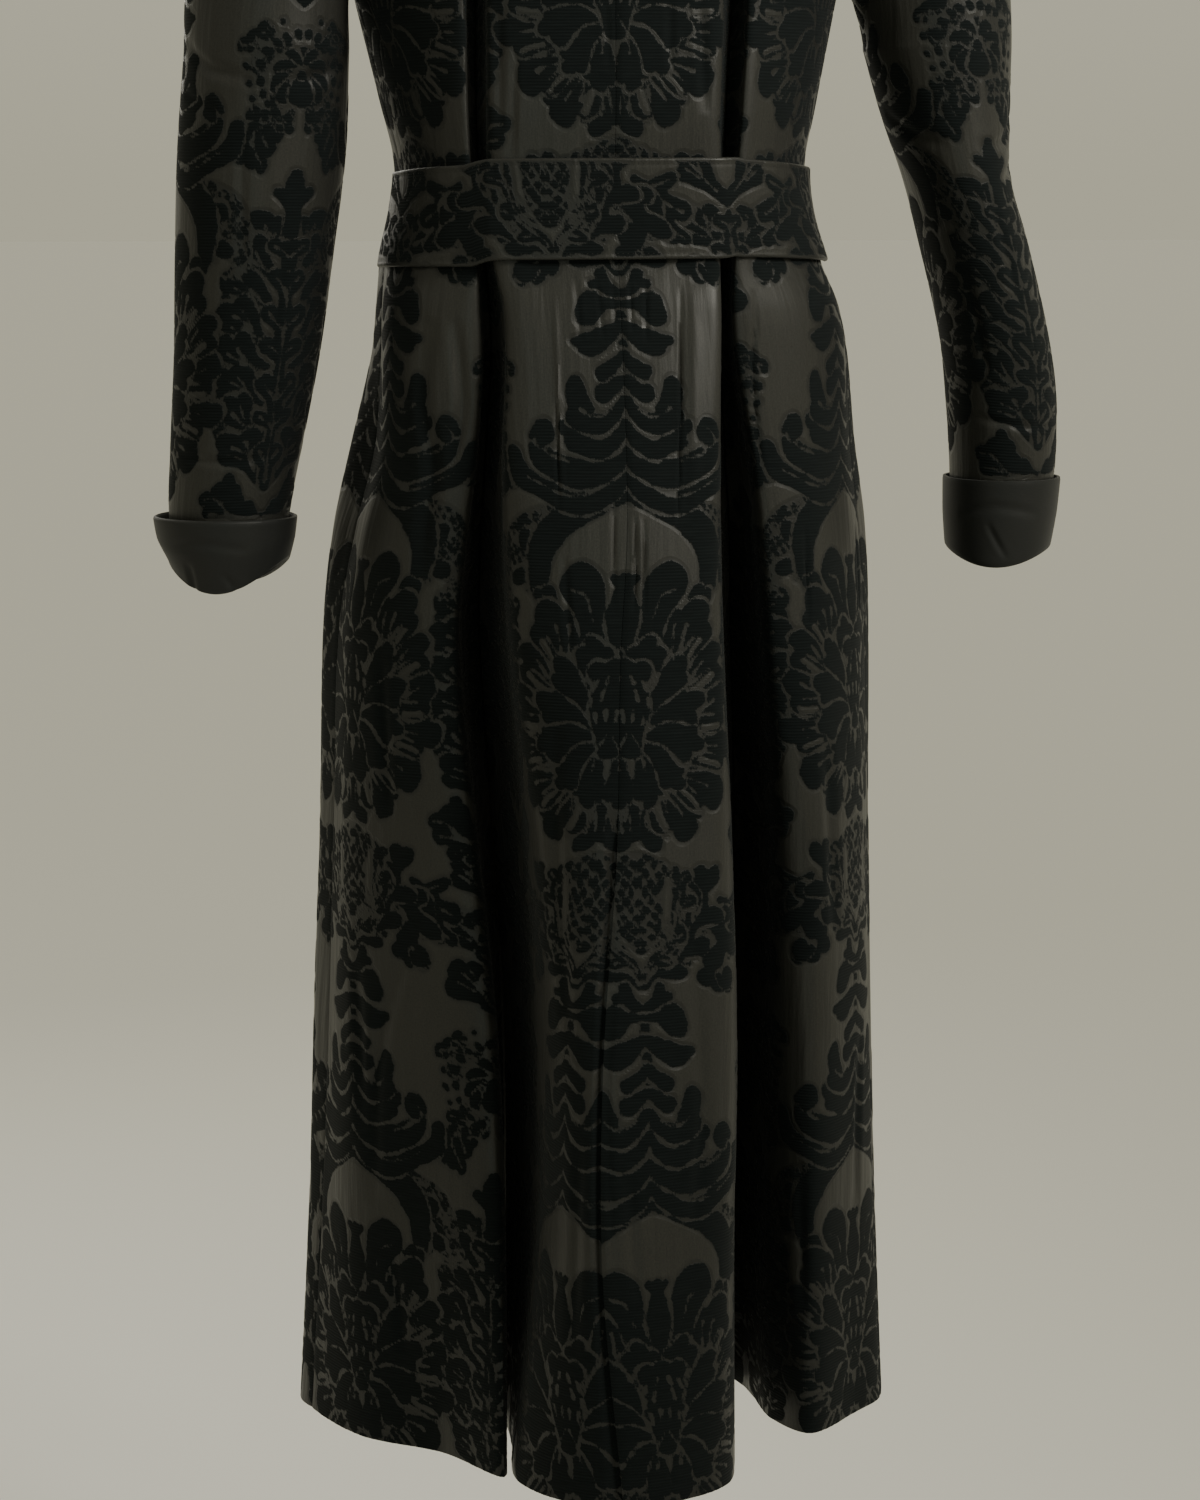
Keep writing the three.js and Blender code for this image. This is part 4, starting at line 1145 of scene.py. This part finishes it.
def closed_curve(corners, samples):
    """A smooth closed curve through corner places, first axis along it."""
    p = [np.roll(corners, 1 - k, 0) for k in range(4)]
    lengths = np.linalg.norm(p[2] - p[1], axis=-1).mean(1)
    run = np.concatenate([[0], np.cumsum(lengths)])
    at = np.linspace(0, run[-1], samples, endpoint=False)
    k = np.clip(np.searchsorted(run, at, side="right") - 1, 0, len(lengths) - 1)
    t = ((at - run[k]) / lengths[k])[:, None, None]
    a, b, c, d = (q[k] for q in p)
    return mix(mix(b, c, t), bent(a, b, c, d, t), CUFF_CURVE)


def cuff(hand, side):
    """A folded band round the sleeve's end."""
    drape, size = DRAPES[hand], CUFFS[hand]
    turn = turns_round(side)
    bottom = cuff_bottom(size, turn)
    end = bottom + CUFF_FOLD
    flare = mix(size["inner"], size["outer"], (1 + np.cos(turn)) / 2)
    middle = mix(size["top"], bottom, 0.5)

    def ring(z, grow, at=None):
        p = ring_point(drape, side, turn, z if at is None else at, grow)
        p[:, 2] = z
        return p

    top = np.full(len(turn), float(size["top"]))
    corners = np.stack([
        ring(top, flare + CUFF_CLOTH - 0.4), ring(top - 2, flare + CUFF_CLOTH),
        ring(middle, CUFF_MIDDLE_FLARE * flare + CUFF_EASE + CUFF_CLOTH),
        ring(bottom + 3, CUFF_EASE + CUFF_CLOTH, end), ring(bottom, CUFF_EASE + CUFF_CLOTH - 1.2, end),
        ring(bottom + 0.6, -CLOTH + 0.6, end), ring(end - 0.5, -CLOTH, end), ring(end - 0.5, CUFF_EASE, end),
        ring(middle, CUFF_MIDDLE_FLARE * flare + CUFF_EASE), ring(top, flare + 0.4),
    ])
    grid = closed_curve(corners, CUFF_SAMPLES)
    v = run_along(grid)
    u = np.cumsum(np.linalg.norm(grid - np.roll(grid, 1, 1), axis=-1), 1)
    move = creased(u, np.minimum(v, 2 * np.abs(size["top"] - bottom) - v), CREASES["cuff_" + hand])
    grid = grid + (ring(middle, 1.0) - ring(middle, 0.0)) * move[..., None]
    index = np.arange(grid.shape[0] * len(turn)).reshape(-1, len(turn))
    below, right = np.roll(index, -1, 0), np.roll(index, -1, 1)
    quads = np.stack([index, below, np.roll(below, -1, 1), right], -1).reshape(-1, 4)
    places = np.stack([u, -v], -1).reshape(-1, 2) * MM
    values = np.full(index.size, FAR)
    return mesh_piece("coat_cuff_" + hand, grid.reshape(-1, 3) * MM, quads.ravel(), np.full(len(quads), 4),
                      places, values)


cuffs = [cuff("right", 1), cuff("left", -1)]

# %% [markdown]
# The half-belt
#
# A straight band of the figured cloth lies over the back of the waist and passes straight over both
# pleats. Its edges are turned under, so they are round, and a row of stitches holds them. The rows of the
# mesh lie closer together at both edges, where the cloth turns.

# %% Build the belt
BELT_EASE = 2.5
BELT_CLOTH = 3.0
BELT_START = -10.95
BELT_END_TOP = 10.45
BELT_END_BOTTOM = 10.8
BELT_COLUMNS = 240
BELT_SAMPLES = 1200
BELT_LEVEL = -400.0
BELT_HIGH = 66.0
BELT_EDGE_ROWS = np.array([0, 0.5, 1.2, 2.2])
BELT_INNER_ROWS = np.linspace(3.8, BELT_HIGH - 3.8, 41)
BELT_SHIFT = (38, 372)
BELT_TACK = 11.0
STITCH_INSET = 4.0
EDGE_ROUND, EDGE_FALL = 1.4, 1.1
SEAT_WIDTH, SEAT_DEPTH = 1.2, 0.35
TACK_WIDTH, TACK_DEPTH = 1.3, 0.5
PLAIN_EDGE = 2.4


def belt():
    """The belt as a shell over the bridged section."""
    drop = np.concatenate([BELT_EDGE_ROWS, BELT_INNER_ROWS, BELT_HIGH - BELT_EDGE_ROWS[::-1]]) / BELT_HIGH
    sample = np.linspace(BELT_START, BELT_END_BOTTOM, BELT_SAMPLES)
    run = run_along(waist_face.point(sample, BELT_LEVEL))
    even = np.interp(np.linspace(run[1], run[-1], BELT_COLUMNS + 1), run, sample)
    t = (even - BELT_START) / (BELT_END_BOTTOM - BELT_START)
    place = mix(BELT_START, mix(BELT_END_TOP, BELT_END_BOTTOM, drop[:, None]), t[None])
    top, bottom = read(BELT, "top", place, "place"), read(BELT, "bottom", place, "place")
    row = mix(top, bottom, drop[:, None])
    grid = waist_face.point(place, row)
    u = run_along(grid, 1)
    u = u - u[:, -1:] / 2
    v = (top - bottom) * drop[:, None]
    edge = np.minimum(np.minimum(v, (top - bottom) - v), np.minimum(u - u[:, :1], u[:, -1:] - u))
    round_off = -EDGE_FALL * (1 - np.clip(edge / EDGE_ROUND, 0, 1)) ** 2
    seat = -SEAT_DEPTH * np.exp(-(((edge - STITCH_INSET) / SEAT_WIDTH) ** 2))
    seat -= TACK_DEPTH * np.exp(-(((u[:, -1:] - u - BELT_TACK) / TACK_WIDTH) ** 2))
    figure = np.maximum(figure_at(u, v, *BELT_SHIFT), PLAIN_EDGE - edge)
    lift = BELT_EASE + BELT_CLOTH + round_off + seat
    return shell("coat_back_belt", grid, lift, np.full(lift.shape, BELT_EASE), u, v, figure)


back_belt, belt_grid, belt_normal = belt()

# %% [markdown]
# The belt's stitches
#
# A row of small stitches runs along both long edges of the belt and down beside its right end. Each
# stitch is modelled: a slim eight-sided bead with its ends sunk in the cloth. All of them are one mesh,
# because a mesh with hundreds of small parts is far lighter than hundreds of objects.

# %% Sew the belt's edges
STITCH_PITCH = 3.4
STITCH_LONG = 2.4
STITCH_THICK = 0.32
STITCH_SUNK = 0.25
STITCH_ROW = 4
TACK_ROW = 20
BEAD = ((0, 2, 1), (0, 3, 2), (0, 4, 3), (0, 1, 4), (5, 1, 2), (5, 2, 3), (5, 3, 4), (5, 4, 1))


def sewn(line, normal):
    """Corners of the stitches along a line on the cloth, six to a bead."""
    run = run_along(line)
    start = np.arange(STITCH_PITCH, run[-1] - STITCH_PITCH, STITCH_PITCH)

    def at(values, place):
        return np.stack([np.interp(place, run, column) for column in values.T], -1)

    a, b, up = at(line, start), at(line, start + STITCH_LONG), at(normal, start + STITCH_LONG / 2)
    middle = (a + b) / 2
    aside = np.cross(b - a, up)
    aside *= STITCH_THICK / np.linalg.norm(aside, axis=1, keepdims=True)
    rise, sunken = up * STITCH_THICK, up * STITCH_SUNK
    around = [middle + rise, middle + aside, middle - rise, middle - aside]
    return np.stack([a - sunken, *around, b - sunken], 1)


from_end = np.linalg.norm(belt_grid[TACK_ROW] - belt_grid[TACK_ROW, -1], axis=1)
tack = int(np.argmin(np.abs(from_end - BELT_TACK)))
along_belt, across_belt = slice(2, -2), slice(STITCH_ROW, -STITCH_ROW)
lines_sewn = [(STITCH_ROW, along_belt), (-1 - STITCH_ROW, along_belt), (across_belt, tack)]
beads = np.concatenate([sewn(belt_grid[line], belt_normal[line]) for line in lines_sewn])
points = beads.reshape(-1, 3)
faces = (np.arange(len(beads))[:, None, None] * beads.shape[1] + np.array(BEAD)).reshape(-1, 3)
belt_stitches = mesh_piece("coat_belt_stitches", points * MM, faces.ravel(), np.full(len(faces), 3),
                           points[:, ::2] * MM, np.full(len(points), FAR))
print("stitches:", len(beads))

# %% [markdown]
# Materials in code
#
# A material is a small graph. Writing it as sums keeps it readable: a wire is an output of one node, and
# adding or multiplying wires adds the Math nodes that do so.

# %% Wires that can be added and multiplied


class Wire:
    """An output of a material's node that takes part in sums."""

    def __init__(self, finish, socket):
        self.finish, self.socket = finish, socket

    def sum(self, operation, *values, clamp=False):
        settings = {"operation": operation, "use_clamp": clamp}
        return self.finish.node("ShaderNodeMath", settings, dict(enumerate(values)))

    def __add__(self, other):
        return self.sum("ADD", self, other)

    def __sub__(self, other):
        return self.sum("SUBTRACT", self, other)

    def __rsub__(self, other):
        return self.sum("SUBTRACT", other, self)

    def __mul__(self, other):
        return self.sum("MULTIPLY", self, other)

    __radd__, __rmul__ = __add__, __mul__

    def clamped(self):
        return self.sum("ADD", self, 0, clamp=True)

    def sine(self):
        return self.sum("SINE", self)


class Finish:
    """A new material whose nodes are added one by one."""

    def __init__(self, name):
        self.material = bpy.data.materials.new(name)
        self.material.use_nodes = True
        self.tree = self.material.node_tree
        self.shader = self.tree.nodes["Principled BSDF"]

    def node(self, kind, settings=None, values=None, output=0):
        """A node of a kind, its settings, then the values or wires of its sockets."""
        made = self.tree.nodes.new(kind)
        for name, value in (settings or {}).items():
            setattr(made, name, value)
        for name, value in (values or {}).items():
            self.feed(made.inputs[name], value)
        return Wire(self, made.outputs[output])

    def feed(self, socket, value):
        if isinstance(value, Wire):
            self.tree.links.new(value.socket, socket)
        else:
            socket.default_value = value

    def mixed(self, a, b, factor):
        """A colour between two others."""
        return self.node("ShaderNodeMix", {"data_type": "RGBA"}, {0: factor, 6: a, 7: b}, output=2)

    def scaled(self, place, by):
        """Places stretched along their axes."""
        return self.node("ShaderNodeVectorMath", {"operation": "MULTIPLY"}, {0: place, 1: by})

    def noise(self, place, scale, detail):
        return self.node("ShaderNodeTexNoise", None, {"Vector": place, "Scale": scale, "Detail": detail})

    def bump(self, height):
        return self.node("ShaderNodeBump", None, {"Height": height, "Distance": 1.0, "Strength": 1.0})

    def finish(self, **values):
        """The main shader's sockets, by their names in small letters."""
        for name, value in values.items():
            self.feed(self.shader.inputs[name.replace("_", " ").title().replace("Ior", "IOR")], value)
        return self.material


# %% [markdown]
# The figured cloth
#
# The ground is a warp satin: dark, smooth and a little shiny, with the faint upright streaks and puckers
# of its long threads. The figure is woven the other way, in fine level ribs with thicker yarns among
# them. They catch little light, so it looks nearly black. Both come from the same two values, the
# distance to the figure and the cloth's own places. A little noise on the distance makes the figure's
# edge as uneven as a woven one.

# %% Mix the figured cloth
GROUND = (0.0110, 0.0112, 0.0100, 1)
GROUND_WORN = (0.0230, 0.0227, 0.0192, 1)
GROUND_LINE = (0.0100, 0.0103, 0.0092, 1)
FIGURE = (0.0012, 0.0026, 0.0028, 1)
FIGURE_WORN = (0.0040, 0.0062, 0.0062, 1)
CUFF_DARK = (0.0038, 0.0046, 0.0046, 1)
CUFF_LIGHT = (0.0090, 0.0096, 0.0088, 1)
THREAD_DARK = (0.006, 0.006, 0.0055, 1)
THREAD_LIGHT = (0.018, 0.018, 0.016, 1)
RIB_PITCH = 0.0021


def figured_cloth():
    f = Finish("figured_cloth")
    place = f.node("ShaderNodeUVMap", {"uv_map": "cloth"})
    figure = f.node("ShaderNodeAttribute", {"attribute_name": "figure"}, output=2)
    down_cloth = f.node("ShaderNodeSeparateXYZ", None, {0: place}, output=1)
    ragged = (f.noise(f.scaled(place, (1, 0.5, 1)), 900, 1.0) - 0.5) * 1.9
    uneven = (f.noise(place, 105, 2.0) - 0.5) * 4.2
    mask = (0.5 - (figure + ragged + uneven) * 1.6).clamped()
    open_ground = (figure * 0.42 - 0.15).clamped()
    ribs = (down_cloth * (TURN / RIB_PITCH)).sine()
    slubs = f.noise(f.scaled(place, (0.1, 1, 1)), 620, 2.0)
    threads = f.noise(f.scaled(place, (1, 0.12, 1)), 1400, 2.0)
    puckers = f.noise(f.scaled(place, (1, 0.1, 1)), 130, 2.0)
    cloud = f.noise(place, 9, 3.0)
    grain = f.noise(place, 2600, 1.0)
    mottle = f.noise(place, 800, 2.0)
    satin = f.mixed(GROUND, GROUND_WORN, (threads * 0.6 + mottle * 1.6 + cloud * 0.8 - 1.05).clamped())
    ground = f.mixed(GROUND_LINE, satin, open_ground)
    figured = f.mixed(FIGURE, FIGURE_WORN, (ribs * 0.25 + slubs * 1.5 + grain * 0.6 - 0.8).clamped())
    raised_ribs = mask * (ribs * 0.00008 + slubs * 0.00022 + 0.0002)
    streaks = (1 - mask) * (threads * 0.00012 + puckers * open_ground * 0.0014)
    height = raised_ribs + streaks
    return f.finish(
        base_color=f.mixed(ground, figured, mask),
        roughness=0.46 + mask * 0.42,
        coat_weight=(1 - mask) * 0.26,
        normal=f.bump(height + grain * 0.00004),
        coat_roughness=0.36,
        specular_ior_level=0.12,
        sheen_weight=0.03,
        sheen_roughness=0.5,
    )


def cuff_satin():
    f = Finish("cuff_satin")
    place = f.node("ShaderNodeUVMap", {"uv_map": "cloth"})
    threads = f.noise(f.scaled(place, (0.15, 1, 1)), 1500, 2.0)
    cloud = f.noise(place, 14, 3.0)
    return f.finish(
        base_color=f.mixed(CUFF_DARK, CUFF_LIGHT, (threads + cloud - 0.5).clamped()),
        roughness=0.5 + cloud * 0.12,
        normal=f.bump(threads * 0.00008),
        specular_ior_level=0.25,
        sheen_weight=0.05,
        sheen_roughness=0.5,
    )


def black_thread():
    f = Finish("black_thread")
    place = f.node("ShaderNodeTexCoord", output=3)
    twist = f.noise(place, 1800, 1.0)
    return f.finish(
        base_color=f.mixed(THREAD_DARK, THREAD_LIGHT, twist),
        roughness=0.45 + twist * 0.2,
        normal=f.bump(twist * 0.00006),
        specular_ior_level=0.3,
    )


FIGURED, SATIN, THREAD = figured_cloth(), cuff_satin(), black_thread()
print("materials:", FIGURED.name, SATIN.name, THREAD.name)

# %% [markdown]
# Give each piece its finish and its body
#
# Each piece rides on the coat's one body and stands for the plain solid of the same name, which is
# hidden. Its area is printed beside the size it was cut to. A panel's cut is its widest width by its
# length, and a share says how much of that rectangle the tapered piece fills.

# %% Ride and replace


def cloth_area(piece):
    """Half of the closed skin's surface, in square metres."""
    mesh = piece.data
    area = np.zeros(len(mesh.polygons))
    mesh.polygons.foreach_get("area", area)
    return area.sum() / 2


def declare(piece, material, slot, held, flat, share, rests_on=()):
    """One cloth piece: its finish, its body, its solid and its cut."""
    piece.data.materials.append(material)
    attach(piece, BODY)
    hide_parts(piece.name.removeprefix("coat_"))
    area = share * flat[0] * flat[1]
    print(piece.name, "area", round(cloth_area(piece), 3), "of cut", round(area, 3))


CUTS = {
    "coat_back_right": ((0.31, 1.27), 0.62), "coat_back_left": ((0.27, 1.27), 0.62),
    "coat_side_back_right": ((0.24, 1.26), 0.68), "coat_side_back_left": ((0.30, 1.26), 0.6),
    "coat_front_right": ((0.36, 1.25), 0.74), "coat_front_left": ((0.36, 1.25), 0.74),
    "coat_sleeve_right": ((0.40, 0.62), 0.8), "coat_sleeve_left": ((0.40, 0.62), 0.8),
    "coat_cuff_right": ((0.27, 0.062), 0.95), "coat_cuff_left": ((0.27, 0.062), 0.95),
    "coat_back_belt": ((0.33, 0.066), 1.0),
}
for piece in [*trunk, *sleeves]:
    declare(piece, FIGURED, "figured_cloth", "hung", *CUTS[piece.name])
for piece in cuffs:
    declare(piece, SATIN, "cuff_satin", "folded", *CUTS[piece.name])
belt_stitches.data.materials.append(THREAD)
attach(belt_stitches, BODY)
declare(back_belt, FIGURED, "figured_cloth", "laid", *CUTS["coat_back_belt"],
        ["coat_back_right", "coat_back_left", "coat_side_back_right", "coat_side_back_left"])

# %% [markdown]
# The last update
#
# The scene's layout is brought up to date once all pieces are in place.

# %% Update the scene
bpy.context.view_layer.update()
